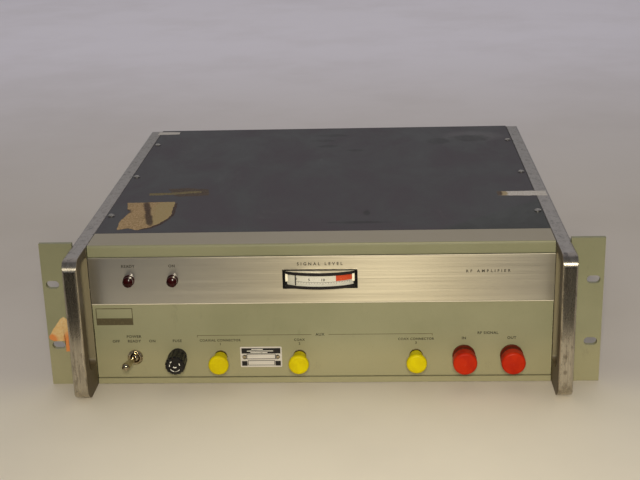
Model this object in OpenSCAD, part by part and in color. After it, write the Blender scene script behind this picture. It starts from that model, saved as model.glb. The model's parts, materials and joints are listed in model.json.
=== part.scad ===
// Rack-mounted laboratory microwave amplifier: a travelling-wave tube and its supply in a
// modular cabinet with cast side frames whose front ends are the handles.
// Millimetres, +Z up, the front faces -Y, origin at the middle of the base.

/* [Cabinet] */
// Width over the two side frames
cabinet_w = 425.4; // [400:0.1:520]
// Height of the side frames
cabinet_h = 130; // [128:0.5:170]
// Depth of the side frames, from the handle fronts to the back ends
cabinet_d = 444; // [420:1:560]
// Thickness of a side frame
frame_t = 12.7; // [11:0.1:18]
// Height of a side frame's top and bottom rails
rail_h = 15; // [13:0.5:20]
// Depth of a side frame's front post behind the face of the panel
front_post = 38; // [36:1:50]
// Depth of a side frame's back post
rear_post = 24; // [20:1:34]
// Radius of a side frame's front corner at the top
front_corner_r = 11; // [6:0.5:14]
// Radius of a side frame's front corner at the base
foot_corner_r = 15; // [8:0.5:18]
// Radius of a side frame's back corners
rear_corner_r = 4; // [2:0.5:8]
// Radius of a side frame's long edges on the outside
outer_edge_r = 2; // [0.6:0.1:2.5]
// Radius of a side frame's long edges on the inside
inner_edge_r = 0.8; // [0.3:0.1:1]
// Radius of the inside edge up the front of a handle
grip_edge_r = 2.4; // [0.6:0.1:3]
// Width of the ledges inside the side frames, which carry the covers
ledge_w = 10; // [8:0.5:14]
// Thickness of those ledges
ledge_t = 2.5; // [2:0.1:4]
// Thickness of the lug that carries the back panel
lug_t = 4; // [3:0.5:8]

/* [Handles] */
// How far the handles stand in front of the panel
handle_reach = 39; // [36:0.5:50]
// Thickness of a handle's bar, front to back
bar_t = 12; // [9:0.5:14]
// Thickness of a handle's top
loop_top = 7; // [6:0.5:10]
// Height of the floor of the finger gap
loop_floor = 22; // [20:0.5:34]
// How far a side frame's post stands in front of the panel
post_lead = 2.5; // [2.2:0.1:4]
// Radius where the floor of the finger gap runs up into the bar
grip_r = 10; // [5:0.5:11]
// Radius of the other corners of the finger gap
gap_r = 5; // [3:0.5:8]

/* [Sheet metal] */
// Thickness of the top and bottom covers
cover_t = 1.6; // [1:0.1:2.4]
// How far the bottom cover is set in above the base
base_recess = 2.4; // [2.2:0.1:4]
// Depth of the fold along the back of the top cover
hem_h = 9; // [6:0.5:11]
// Thickness of the side covers
side_cover_t = 1.6; // [1:0.1:2.4]
// How far the side covers are set in from the outside of the frames
side_recess = 1; // [0.6:0.1:2]
// Width of the step that a side cover sits in
rabbet_w = 7; // [6:0.5:9]
// Radius of the corners of the side covers
side_corner_r = 6; // [4:0.5:9]
// Length of a ventilation slot
vent_l = 22; // [12:1:26]
// Width of a ventilation slot
vent_w = 4; // [2:0.5:6]
// Pitch of the slots along the side
vent_pitch = 32; // [30:1:40]
// Pitch of the rows of slots
vent_row = 11; // [9:0.5:14]
// Slots in a row
vent_count = 8; // [4:1:9]
// Rows of slots
vent_rows = 5; // [3:2:5]
// Thickness of the back panel
rear_t = 2; // [1.5:0.1:3]
// How far the back panel is set in from the back ends of the frames
rear_recess = 14; // [12:0.5:20]
// Height of the top of the chassis deck
deck_z = 13; // [12:0.5:15]
// Thickness of the chassis deck
deck_t = 1.6; // [1:0.1:2.4]
// How far the chassis deck starts behind the front panel
deck_start = 24; // [22:1:40]

/* [Front] */
// Thickness of the front panel
panel_t = 3.2; // [2.5:0.1:4]
// Depth of the folded sides of the front panel
panel_side = 17; // [15:0.5:20]
// Thickness of the folded sides of the front panel
panel_side_t = 2.5; // [2:0.1:3.5]
// Height of the bright trim strip
trim_h = 43.1; // [36:0.1:46]
// Thickness of the bright trim strip
trim_t = 1.6; // [1.2:0.1:2.2]
// Bevel along the long edges of the trim strip
trim_bevel = 0.7; // [0.3:0.1:1]
// Height of the top rail's front
rail_face_h = 10.3; // [9:0.1:14]
// Depth of the top rail
top_rail_d = 33; // [28:0.5:36]
// Thickness of the top rail
top_rail_t = 3; // [2:0.1:4]
// Radius of the top rail's front edge
top_rail_r = 2.2; // [1:0.1:2.8]
// Top of the filler strip under the panel
filler_h = 5.6; // [4.4:0.1:7]
// Depth of the filler strip
filler_d = 11; // [8:0.5:14]
// How far the filler strip stands in front of the panel
filler_lead = 1; // [0:0.1:1.5]
// Height of the row of controls
control_z = 26; // [26:0.5:32]
// Middle of the switch, and of the lamp above it
switch_x = -165.2; // [-172:0.1:-160]
// Pitch of the first columns of controls
column_pitch = 38; // [34:0.1:39]
// Middle of the first small jack
small_jack_1_x = -89.3; // [-92:0.1:-86]
// Middle of the second small jack
small_jack_2_x = -19.7; // [-24:0.1:40]
// Middle of the third small jack
small_jack_3_x = 82; // [50:0.1:96]
// Middle of the first large jack, the input
large_jack_1_x = 123.5; // [118:0.1:128]
// Middle of the second large jack, the output
large_jack_2_x = 164.8; // [156:0.1:168]
// Height of the lamps and the meter above the middle of the trim strip
lamp_rise = 0.9; // [-2:0.1:2]
// Left edge of the data plate
plate_x = -72.1; // [-73:0.1:-71]
// Foot of the data plate
plate_z = 15.5; // [12:0.1:18]
// Width of the data plate
plate_w = 36.6; // [30:0.1:38]
// Height of the data plate
plate_h = 19.3; // [14:0.1:22]
// Thickness of the data plate
plate_t = 0.6; // [0.4:0.1:1]
// Inset of the data plate's two pins
plate_pin_inset = 3.6; // [2.6:0.1:5]

/* [Rack ears] */
// How far an ear stands out from the cabinet
ear_w = 28.6; // [24:0.1:34]
// How far the ears rise above the side frames
ear_rise = 2.5; // [0:0.1:4]
// Thickness of an ear
ear_t = 4; // [3:0.1:5]
// Depth of the leg that lies along the side frame
ear_leg_d = 28; // [26:0.5:30]
// Thickness of that leg
ear_leg_t = 3.2; // [2.8:0.1:4]
// Set back of the leg's ends from the top and bottom
ear_leg_inset = 7; // [5:0.5:9]
// Distance from an ear's outer edge to the middle of its slots
slot_inset = 8.75; // [7:0.05:12]
// Height of the lower slot
slot_z = 37.7; // [20:0.1:50]
// Distance between the two slots
slot_pitch = 57.15; // [44.45:0.05:60]
// Length of a slot
slot_l = 11.4; // [9:0.1:13]
// Width of a slot
slot_w = 7.1; // [6.5:0.1:8]

/* [Toggle switch] */
// Whole throw of the lever, in degrees
lever_throw = 26; // [20:1:28]
// Length from the pivot to the middle of the tip
lever_l = 20.7; // [16:0.1:22]
// Radius of the lever at the pivot
lever_root_r = 1.9; // [1.4:0.1:2]
// Radius of the lever's tip
lever_tip_r = 3.5; // [2.4:0.1:3.6]
// Radius of the pivot ball
lever_ball_r = 3.9; // [3.6:0.1:4]
// Distance of the pivot in front of the panel
pivot_lead = 0.8; // [0.5:0.1:2]
// Outer radius of the threaded bush
bush_r = 5.9; // [5.6:0.02:7.2]
// How far the bush stands in front of the panel
bush_lead = 3.4; // [3.4:0.1:8.7]
// Width of the switch body
switch_w = 29; // [26:0.5:32]
// Height of the switch body
switch_h = 17; // [15:0.5:18]
// Depth of the switch body
switch_d = 24; // [20:0.5:30]
// Wall of the ring nut
switch_nut_wall = 0.75; // [0.7:0.05:1.6]
// Thickness of the ring nut
switch_nut_t = 2.6; // [2:0.1:3]

/* [Fuse holder] */
// How far the fuse cap stands out beyond the holder's collar
fuse_cap_step = 0.9; // [0.4:0.1:1.5]
// Front of the fuse cap, from the panel
fuse_cap_lead = 20.5; // [17:0.1:22]
// Flutes round the fuse cap
flute_count = 14; // [13:1:18]
// Radius of a flute
flute_r = 0.9; // [0.6:0.1:1.1]
// How far the holder's collar stands out from its barrel
collar_w = 1.5; // [1:0.1:2]
// Thickness of the holder's collar
collar_t = 2.4; // [1.8:0.1:3]
// Radius of the holder's threaded barrel
barrel_r = 6.3; // [6:0.02:7.6]
// Depth of the barrel behind the panel
barrel_d = 44; // [42:0.5:50]
// Radius of the bore that the carrier runs in
carrier_bore_r = 4.45; // [4.3:0.05:4.8]
// Radius of the fuse
fuse_r = 3.175; // [3:0.005:3.2]
// Length of the fuse
fuse_l = 31.75; // [30:0.05:33]
// Length of the fuse's metal ends
fuse_end_l = 6.3; // [5:0.1:7]

/* [Lamps] */
// Radius of a lamp jewel
jewel_r = 4.5; // [4.2:0.01:6.2]
// How far a jewel stands in front of the trim strip
jewel_lead = 7.2; // [5:0.1:9]
// How far the jewel's foot stands out from it
jewel_foot_w = 0.5; // [0.5:0.05:1.5]
// Wall of the jewel
jewel_wall = 0.9; // [0.7:0.1:1.2]
// Depth of a lamp holder behind the panel
holder_d = 22; // [20:0.5:28]
// Radius of the bulb's base
bulb_r = 2.6; // [2:0.1:3]

/* [Meter] */
// Width of the meter's bezel
meter_w = 64.4; // [60:0.1:68]
// Height of the meter's bezel and case
meter_h = 17.2; // [17:0.1:20]
// Thickness of the bezel
bezel_t = 1.2; // [0.8:0.1:1.6]
// Overlap of the bezel over the two ends of the panel cut-out
bezel_lip = 1.2; // [0.8:0.1:1.6]
// Wall of the meter's case
case_wall = 1; // [0.8:0.1:1.2]
// Radius of the bowed window
window_r = 80; // [76:1:110]
// Thickness of the window's front
window_t = 1.1; // [0.9:0.1:1.4]
// Thickness of the window's sides, top and floor
glass_wall = 0.9; // [0.7:0.1:1]
// Radius of the curved scale
scale_r = 58; // [55:0.5:62]
// Thickness of the scale
scale_t = 0.8; // [0.6:0.1:1.2]
// Angle of the pointer at rest, left of the middle
pointer_rest = 21; // [18:1:26]
// Width of the pointer
pointer_w = 0.9; // [0.6:0.1:1.2]
// Depth of the meter's case behind the panel
meter_d = 66; // [64:0.5:80]

/* [Coaxial jacks and dust caps] */
// Radius of a small jack's barrel
small_r = 4.8; // [4.6:0.02:5.8]
// How far a small jack stands in front of the panel
small_lead = 15; // [12:0.1:15]
// Height of the small jack's bayonet lugs
lug_h = 0.45; // [0.4:0.05:0.8]
// How far a small jack's flange stands out from its barrel
small_flange_w = 1; // [0.6:0.1:2.6]
// Thickness of a small jack's flange
small_flange_t = 1.8; // [1.4:0.1:2]
// Wall of a small cap's skirt
small_skirt_wall = 0.5; // [0.5:0.01:1]
// Foot of a small cap's skirt, from the panel
small_cap_foot = 4; // [2.6:0.1:6]
// How far a small cap's head stands out beyond its skirt
small_head_step = 2.95; // [1.5:0.05:3.5]
// Thickness of a small cap's head
small_head_t = 4.2; // [3:0.1:5]
// Front of a small cap, from the panel
small_cap_lead = 21; // [18:0.1:23]
// Radius of a large jack's barrel
large_r = 7.95; // [7.4:0.01:9.6]
// How far a large jack stands in front of the panel
large_lead = 11; // [10:0.1:12]
// How far a large jack's flange stands out from its barrel
large_flange_w = 1.25; // [1:0.05:1.7]
// Thickness of a large jack's flange
large_flange_t = 1.6; // [1.2:0.1:1.8]
// Wall of a large cap's head
large_head_wall = 2.32; // [2:0.02:3]
// Wall of the flange at the foot of a large cap
large_foot_wall = 1.95; // [1.4:0.01:2]
// Wall in the groove of a large cap
groove_wall = 0.97; // [0.7:0.01:1.2]
// Width of the groove behind a large cap's head
groove_w = 7.5; // [1.5:0.1:8]
// Front of a large cap, from the panel
large_cap_lead = 21.8; // [17:0.1:24]
// Thickness of a large cap's front wall
cap_wall = 2.6; // [2:0.1:3.2]
// Depth of the jacks behind the panel
jack_tail = 16; // [15:0.5:20]
// Wall of the nuts behind the panel, from the thread to a flat
back_nut_wall = 1.6; // [1.2:0.1:2.2]
// Thickness of the nuts behind the panel
back_nut_t = 2.8; // [2:0.1:3.2]
// Rounding of the caps' front edges
cap_edge_r = 2.2; // [0.6:0.1:2.4]

/* [Inside] */
// Middle of the amplifier tube and of the fan behind it
tube_x = 142; // [138:0.5:145]
// Height of the tube's axis above the deck
tube_rise = 50; // [46:0.5:54]
// Radius of the tube's magnet stack
stack_r = 24; // [20:0.5:26]
// Length of the magnet stack
stack_l = 190; // [150:1:200]
// Magnet rings in the stack
ring_count = 19; // [9:2:21]
// Radius of the gun housing at the tube's front
gun_r = 17; // [14:0.5:19]
// Length of the gun housing
gun_l = 44; // [34:1:48]
// Radius of the collector's fins
fin_r = 23; // [18:0.5:25]
// Length of the collector
collector_l = 50; // [40:1:55]
// Fins on the collector
fin_count = 7; // [4:1:9]
// Radius of the coaxial lines to the tube
coax_r = 1.8; // [1.2:0.1:1.9]
// Bend radius of the coaxial lines
coax_bend = 5.5; // [5:0.1:6]
// Width of the transformer's laminations
core_w = 92; // [80:1:96]
// Height of the transformer's laminations
core_h = 78; // [66:1:84]
// Thickness of the stack of laminations
core_d = 44; // [36:1:50]
// Depth of an end bell
bell_d = 20; // [16:0.5:24]
// Radius of a filter capacitor
can_r = 17.5; // [14:0.5:18]
// Height of a filter capacitor
can_h = 74; // [50:1:84]
// Width of the regulator board
board_w = 170; // [140:1:180]
// Depth of the regulator board
board_d = 104; // [90:1:110]
// Thickness of the regulator board
board_t = 1.6; // [1.2:0.1:2]
// Height of the posts under the board
post_h = 9; // [6:0.5:12]

/* [Fan and mains inlet] */
// Width of the fan's square frame
fan_w = 79.4; // [76:0.1:80]
// Depth of the fan's frame
fan_d = 38; // [36:0.5:42]
// Radius of the fan's duct
duct_r = 37; // [35:0.1:37.2]
// Distance between the fan's screws
fan_screw_pitch = 71.4; // [68:0.1:72]
// Blades on the rotor
blade_count = 5; // [3:1:7]
// Pitch of the blades, in degrees
blade_pitch = 38; // [25:1:42]
// Radius of the rotor's hub
hub_r = 18.5; // [16:0.5:20]
// Radius of the rotor's shaft
shaft_r = 2.5; // [2:0.1:3]
// Radius of the guard's wire
wire_r = 1.1; // [0.8:0.1:1.4]
// Rings in the guard
guard_rings = 5; // [4:1:6]
// Middle of the mains inlet
inlet_x = -150; // [-155:1:-120]
// Height of the mains inlet
inlet_z = 62; // [50:1:70]
// Width of the inlet's flange
inlet_w = 46; // [44:0.5:50]
// Height of the inlet's flange
inlet_h = 25; // [24:0.5:28]
// Thickness of the inlet's flange
inlet_flange_t = 2.2; // [1.6:0.1:3]
// Depth of the inlet's recess
inlet_recess = 18; // [17:0.5:20]
// Length of the inlet's pins
pin_l = 11; // [9:0.5:12]

/* [Fits] */
// Gap round covers and panels
fit_gap = 0.4; // [0.3:0.05:0.6]
// Gap between pieces that move apart
seat_gap = 0.3; // [0.25:0.05:0.5]
// Radial clearance of a running fit
run_gap = 0.08; // [0.05:0.01:0.1]
// Radial clearance of a hole round a screw or a bush
hole_gap = 0.15; // [0.1:0.01:0.3]

/* [Hidden] */
$fn = 48;

// How far a cut runs past a face, and a joined piece into its neighbour
cut = 1;

// Stations along the cabinet
x_out = cabinet_w / 2;
x_in = x_out - frame_t;
x_fit = x_in - fit_gap;
y_front = -cabinet_d / 2;
y_rear = cabinet_d / 2;
y_panel = y_front + handle_reach;
y_trim = y_panel - trim_t;
y_back = y_panel + panel_t;
y_rear_out = y_rear - rear_recess;
y_rear_in = y_rear_out - rear_t;

// Heights of the covers and of the ledges that carry them
z_top_ledge = cabinet_h - cover_t;
z_low_ledge = base_recess + cover_t;

// Heights on the front
trim_top = cabinet_h - rail_face_h - seat_gap;
trim_low = trim_top - trim_h;
panel_low = filler_h + 2 * fit_gap;
lamp_z = (trim_top + trim_low) / 2 + lamp_rise;
fuse_x = switch_x + column_pitch;
lamp_xs = [switch_x, fuse_x];
small_jack_xs = [small_jack_1_x, small_jack_2_x, small_jack_3_x];
large_jack_xs = [large_jack_1_x, large_jack_2_x];
plate_pin_r = 0.9;
plate_pin_xs = [plate_x + plate_pin_inset, plate_x + plate_w - plate_pin_inset];

// Side window of a frame, with the step round it
window_low = [y_panel + front_post, rail_h];
window_high = [y_rear - rear_post, cabinet_h - rail_h];
rabbet = [rabbet_w, rabbet_w];

// Fasteners: shank radius, head radius, head height and length
ear_screw = [2.3, 4.4, 0, 11];
panel_screw = [1.7, 3.4, 0, frame_t + fit_gap + panel_side_t];
cover_screw = [1.6, 3.1, 1.5, cover_t + ledge_t + 2];
side_screw = [1.4, 2.6, 0.8, 7];
rear_screw = [1.6, 3.1, 1.8, rear_t + lug_t + 1];
fan_screw = [1.9, 3.6, 2, 14];
filler_screw = [1, 1.7, 0, frame_t + 6];

ear_screw_y = y_panel + 20;
ear_screw_zs = [28, 74, cabinet_h - 16];
panel_screw_y = y_panel + 10;
panel_screw_zs = [18, 62, trim_top - 12];
rail_screw_z = cabinet_h - 8;
filler_screw_y = y_panel + filler_d / 2;
filler_screw_z = (filler_h + fit_gap) / 2;
cover_screw_x = x_in - 4.8;
cover_screw_first = y_panel + 83;
cover_screw_last = y_rear_in - 50;
cover_screw_ys = [
    cover_screw_first,
    (cover_screw_first + cover_screw_last) / 2,
    cover_screw_last
];
side_screw_inset = rabbet_w / 2 - fit_gap / 2;
side_screw_ys = [
    window_low.x + 30,
    (window_low.x + window_high.x) / 2,
    window_high.x - 30
];
side_screw_zs = [window_low.y - side_screw_inset, window_high.y + side_screw_inset];
rear_screw_zs = [22, cabinet_h / 2, cabinet_h - 22];

// Meter, from the window's front back to the pointer's pivot
meter_cut = [meter_w - 2 * bezel_lip, meter_h + 2 * hole_gap];
case_out = [meter_cut.x - 2 * hole_gap, meter_cut.y - 2 * hole_gap];
case_in = [case_out.x - 2 * case_wall, case_out.y - 2 * case_wall];
glass = [case_in.x - 2 * hole_gap, case_in.y - 2 * hole_gap];
window_bow = window_r - sqrt(window_r * window_r - glass.x * glass.x / 4);
y_glass = y_trim - bezel_t - window_bow;
pointer_t = 0.5;
pointer_air = 0.8;
flag_r = scale_r + pointer_air + pointer_t;
y_pivot = y_glass + window_t + pointer_air + flag_r;
glass_in = [glass.x / 2 - glass_wall, glass.y / 2 - glass_wall];
bridge_high = glass_in.y - seat_gap;
bridge_low = bridge_high - 0.6;
scale_top = bridge_low - seat_gap;
scale_low = hole_gap - glass_in.y;
scale_half = asin((glass_in.x - seat_gap) / scale_r);
arm_low = 0.5;
staff_r = 0.8;
staff_half = case_in.y / 2 - 0.6;
boss_r = 2.4;
boss_h = 1.8;

// Jacks and the caps on them
lug_r = 1;
cap_air = 0.6;
lug_reach = small_r + lug_h;
small_flange_r = small_r + small_flange_w;
small_cap_bore = norm([lug_reach, lug_r]) + run_gap;
small_skirt_r = small_cap_bore + small_skirt_wall;
small_head_r = small_skirt_r + small_head_step;
small_cap_depth = small_lead + cap_air;
large_cap_foot = large_flange_t + seat_gap;
large_flange_r = large_r + large_flange_w;
large_cap_bore = large_r + run_gap;
large_head_r = large_cap_bore + large_head_wall;
large_foot_r = large_cap_bore + large_foot_wall;
groove_r = large_cap_bore + groove_wall;
large_cap_depth = large_cap_lead - cap_wall;
thread_depth = 0.1;
small_thread_r = small_r - thread_depth;
large_thread_r = large_r - thread_depth;
thread_tail = 10.5;

// Fuse, from the cap back to the clip at the end of the barrel
collar_r = barrel_r + collar_w;
fuse_cap_r = collar_r + fuse_cap_step;
fuse_cap_foot = collar_t + seat_gap;
carrier_r = carrier_bore_r - run_gap;
carrier_lead = 9;
carrier_tail = 12;
fuse_start = 1;

// Lamps, from the jewel back to the bulb's seat
jewel_bore = jewel_r - jewel_wall;
bulb_seat = 2 - panel_t - holder_d;

// Stations of the tube and of its lines
tube_z = deck_z + tube_rise;
y_fan = y_rear_in - fan_d;
y_stack = y_panel + 92;
y_stack_end = y_stack + stack_l;
coupler_r = 4;
coupler_z = control_z + coax_bend + 2;
y_coupler_in = y_stack + 9;
y_coupler_out = y_stack_end - 9;
saddle_w = 38;
saddle_t = 14;
saddle_ys = [y_stack + 36, y_stack_end - 50];

// Supply parts on the deck
core_x = -108;
core_y = y_rear_in - 102;
core_z = deck_z + 6;
can_xs = [-26, 16, 58];
can_y = y_rear_in - 60;
board_x = -130;
board_y = y_panel + 86;
board_z = deck_z + post_h;
board_inset = 7;
board_screw_r = 1.5;
board_spots = [
    for (x = [board_inset, board_w - board_inset], y = [board_inset, board_d - board_inset])
        [board_x + x, board_y + y]
];

// Fan and inlet
fan_z = deck_z + seat_gap + fan_w / 2;
hub_d = 22;
motor_r = 17;
motor_d = 10;
y_rotor = y_fan + motor_d + seat_gap;
shaft_d = 9;
guard_foot_t = 1.6;
inlet_body = [30, 19];
inlet_mouth = [25, 14.5];
inlet_end_t = 3;
y_inlet = y_rear_out + inlet_flange_t;
y_inlet_floor = y_inlet - inlet_recess;
inlet_pin_r = 1.6;
inlet_pin_spots = [[-6.5, -2.6], [0, 3], [6.5, -2.6]];

// Corner radius of a hexagon nut on a thread, with a wall outside it
function hex_r(thread_r, wall) = (thread_r + hole_gap / 2 + wall) / cos(30);

// Box between two opposite corners
module box(low, high) {
    translate(low) cube(high - low);
}

// Round bar along X, Y or Z
module rod_x(y, z, x0, x1, r) {
    translate([x0, y, z]) rotate([0, 90, 0]) cylinder(r = r, h = x1 - x0);
}

module rod_y(x, z, y0, y1, r) {
    translate([x, y0, z]) rotate([-90, 0, 0]) cylinder(r = r, h = y1 - y0);
}

module rod_z(x, y, z0, z1, r) {
    translate([x, y, z0]) cylinder(r = r, h = z1 - z0);
}

// Flat rectangle with its own radius at each corner, from the low corner round to the upper left
module soft_rect(low, high, radii) {
    centres = [
        low + [radii[0], radii[0]],
        [high.x - radii[1], low.y + radii[1]],
        high - [radii[2], radii[2]],
        [low.x + radii[3], high.y - radii[3]]
    ];
    polygon([
        [centres[0].x, low.y], [centres[1].x, low.y],
        [high.x, centres[1].y], [high.x, centres[2].y],
        [centres[2].x, high.y], [centres[3].x, high.y],
        [low.x, centres[3].y], [low.x, centres[0].y]
    ]);
    for (i = [0 : 3]) translate(centres[i]) circle(r = radii[i]);
}

// Flat slot with round ends along the first axis
module obround(l, w) {
    square([l - w, w], center = true);
    for (s = [-1, 1]) translate([s * (l - w) / 2, 0]) circle(d = w);
}

// Outline drawn in Y and Z, extruded along X
module along_x(x0, x1) {
    translate([x0, 0, 0]) rotate([90, 0, 90]) linear_extrude(x1 - x0) children();
}

// Outline drawn in X and Z, extruded along Y
module along_y(y0, y1) {
    translate([0, y1, 0]) rotate([90, 0, 0]) linear_extrude(y1 - y0) children();
}

// Outline drawn in X and Y, extruded along Z
module along_z(z0, z1) {
    translate([0, 0, z0]) linear_extrude(z1 - z0) children();
}

// Revolved outline of radius and distance in front of the panel
module turned(x, z, outline) {
    translate([x, y_panel, z]) rotate([90, 0, 0]) rotate_extrude() polygon(outline);
}

// Screw along Z with its head's seat at the origin: a flat head sinks, any other stands up
module screw(size) {
    r = size[0];
    head_r = size[1];
    head_h = size[2];
    length = size[3];
    drive_w = head_r * 0.28;
    drive_d = 0.6;
    difference() {
        rotate_extrude() {
            if (head_h == 0)
                polygon([[0, -length], [r, -length], [r, r - head_r], [head_r, 0], [0, 0]]);
            else
                polygon([
                    [0, -length], [r, -length], [r, 0], [head_r, 0],
                    [head_r, head_h * 0.5], [head_r * 0.72, head_h], [0, head_h]
                ]);
        }
        translate([-head_r, -drive_w / 2, head_h - drive_d]) cube([2 * head_r, drive_w, drive_d + cut]);
    }
}

// Clearance for such a screw
module screw_hole(size) {
    r = size[0] + hole_gap;
    head_r = size[1] + hole_gap;
    length = size[3] + hole_gap;
    rotate_extrude() {
        if (size[2] == 0)
            polygon([
                [0, -length], [r, -length], [r, r - head_r], [head_r, 0], [head_r, cut], [0, cut]
            ]);
        else
            polygon([[0, -length], [r, -length], [r, cut], [0, cut]]);
    }
}

// Places that the screws and their holes share, each with the head's seat at the origin
module ear_screw_places() {
    for (z = ear_screw_zs)
        translate([x_out + ear_leg_t, ear_screw_y, z]) rotate([0, 90, 0]) children();
}

module panel_screw_places() {
    for (z = panel_screw_zs)
        translate([x_out, panel_screw_y, z]) rotate([0, 90, 0]) children();
    translate([x_out, panel_screw_y, rail_screw_z]) rotate([0, 90, 0]) children();
}

module filler_screw_place() {
    translate([x_out, filler_screw_y, filler_screw_z]) rotate([0, 90, 0]) children();
}

module top_screw_places() {
    for (s = [-1, 1], y = cover_screw_ys)
        translate([s * cover_screw_x, y, cabinet_h]) children();
}

module bottom_screw_places() {
    for (s = [-1, 1], y = cover_screw_ys)
        translate([s * cover_screw_x, y, base_recess]) rotate([180, 0, 0]) children();
}

module side_screw_places() {
    for (y = side_screw_ys, z = side_screw_zs)
        translate([x_out - side_recess, y, z]) rotate([0, 90, 0]) children();
}

module rear_screw_places() {
    for (s = [-1, 1], z = rear_screw_zs)
        translate([s * cover_screw_x, y_rear_out, z]) rotate([-90, 0, 0]) children();
}

module fan_corner_places() {
    for (i = [-1, 1], j = [-1, 1])
        translate([tube_x + i * fan_screw_pitch / 2, 0, fan_z + j * fan_screw_pitch / 2]) children();
}

module both_sides() {
    children();
    mirror([1, 0, 0]) children();
}

// Side frames

module frame_outline() {
    difference() {
        soft_rect(
            [y_front, 0], [y_rear, cabinet_h],
            [foot_corner_r, rear_corner_r, rear_corner_r, front_corner_r]
        );
        soft_rect(
            [y_front + bar_t, loop_floor], [y_panel - post_lead, cabinet_h - loop_top],
            [grip_r, gap_r, gap_r, gap_r]
        );
        soft_rect(window_low, window_high, [for (i = [0 : 3]) side_corner_r]);
    }
}

// Solid of a frame, with its long edges rounded along the top, the base and both ends
module frame_casting() {
    edges = [inner_edge_r, outer_edge_r, outer_edge_r, inner_edge_r];
    ends = [grip_edge_r, outer_edge_r, outer_edge_r, inner_edge_r];
    intersection() {
        along_x(x_in, x_out) frame_outline();
        along_y(y_front - cut, y_rear + cut) soft_rect([x_in, 0], [x_out, cabinet_h], edges);
        along_z(-cut, cabinet_h + cut) soft_rect([x_in, y_front], [x_out, y_rear], ends);
    }
}

// Right-hand frame: the left one is its mirror image
module side_frame() {
    y_ledge = y_panel + top_rail_d + 2 * fit_gap;
    difference() {
        union() {
            frame_casting();
            for (z = [z_low_ledge, z_top_ledge - ledge_t])
                box([x_in - ledge_w, y_ledge, z], [x_in + cut, y_rear_in, z + ledge_t]);
            box(
                [x_in - ledge_w, y_rear_in - lug_t, z_low_ledge],
                [x_in + cut, y_rear_in, z_top_ledge]
            );
        }
        along_x(x_out - side_recess - side_cover_t, x_out + cut)
            soft_rect(
                window_low - rabbet, window_high + rabbet,
                [for (i = [0 : 3]) side_corner_r]
            );
        ear_screw_places() screw_hole(ear_screw);
        panel_screw_places() screw_hole(panel_screw);
        filler_screw_place() screw_hole(filler_screw);
        side_screw_places() screw_hole(side_screw);
        top_screw_places() screw_hole(cover_screw);
        bottom_screw_places() screw_hole(cover_screw);
        rear_screw_places() screw_hole(rear_screw);
    }
}

module right_side_frame() {
    color("silver") side_frame();
}

module left_side_frame() {
    color("silver") mirror([1, 0, 0]) side_frame();
}

// Covers

module top_cover() {
    y_start = y_panel + top_rail_d + fit_gap;
    color([0.28, 0.27, 0.29]) difference() {
        union() {
            box([-x_fit, y_start, z_top_ledge], [x_fit, y_rear - fit_gap, cabinet_h]);
            box(
                [-x_fit, y_rear - fit_gap - cover_t, cabinet_h - hem_h],
                [x_fit, y_rear - fit_gap, cabinet_h]
            );
        }
        top_screw_places() screw_hole(cover_screw);
    }
}

module bottom_cover() {
    y_start = y_panel + filler_d + fit_gap;
    color([0.28, 0.27, 0.29]) difference() {
        box([-x_fit, y_start, base_recess], [x_fit, y_rear - fit_gap, z_low_ledge]);
        bottom_screw_places() screw_hole(cover_screw);
    }
}

module side_cover() {
    inset = rabbet - [fit_gap, fit_gap];
    middle = (window_low + window_high) / 2;
    difference() {
        along_x(x_out - side_recess - side_cover_t, x_out - side_recess) difference() {
            soft_rect(
                window_low - inset, window_high + inset,
                [for (i = [0 : 3]) side_corner_r - fit_gap]
            );
            for (i = [0 : vent_count - 1], j = [0 : vent_rows - 1])
                translate([
                    middle.x + (i - (vent_count - 1) / 2) * vent_pitch,
                    middle.y + (j - (vent_rows - 1) / 2) * vent_row
                ]) obround(vent_l, vent_w);
        }
        side_screw_places() screw_hole(side_screw);
    }
}

module right_side_cover() {
    color([0.28, 0.27, 0.29]) side_cover();
}

module left_side_cover() {
    color([0.28, 0.27, 0.29]) mirror([1, 0, 0]) side_cover();
}

// Front

// Angle along the top of the front, with a block at each end for its screw
module top_rail() {
    block = 10;
    color([0.55, 0.54, 0.42]) difference() {
        union() {
            along_x(-x_fit, x_fit) {
                translate([y_panel + top_rail_r, cabinet_h - top_rail_r]) circle(r = top_rail_r);
                translate([y_panel, cabinet_h - rail_face_h])
                    square([top_rail_t, rail_face_h - top_rail_r]);
                translate([y_panel + top_rail_r, cabinet_h - top_rail_t])
                    square([top_rail_d - top_rail_r, top_rail_t]);
            }
            both_sides() box(
                [x_fit - block, panel_screw_y - block / 2, rail_screw_z - block / 2],
                [x_fit, panel_screw_y + block / 2, cabinet_h - cut]
            );
        }
        both_sides() panel_screw_places() screw_hole(panel_screw);
    }
}

module front_cutouts() {
    translate([switch_x, control_z]) circle(r = bush_r + hole_gap);
    translate([fuse_x, control_z]) circle(r = barrel_r + hole_gap);
    for (x = small_jack_xs) translate([x, control_z]) circle(r = small_thread_r + hole_gap);
    for (x = large_jack_xs) translate([x, control_z]) circle(r = large_thread_r + hole_gap);
    for (x = plate_pin_xs) translate([x, plate_z + plate_h / 2]) circle(r = plate_pin_r + hole_gap);
}

// Openings that go through the trim strip and the panel behind it
module trim_cutouts() {
    for (x = lamp_xs) translate([x, lamp_z]) circle(r = jewel_r + hole_gap);
    translate([0, lamp_z]) square(meter_cut, center = true);
}

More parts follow.
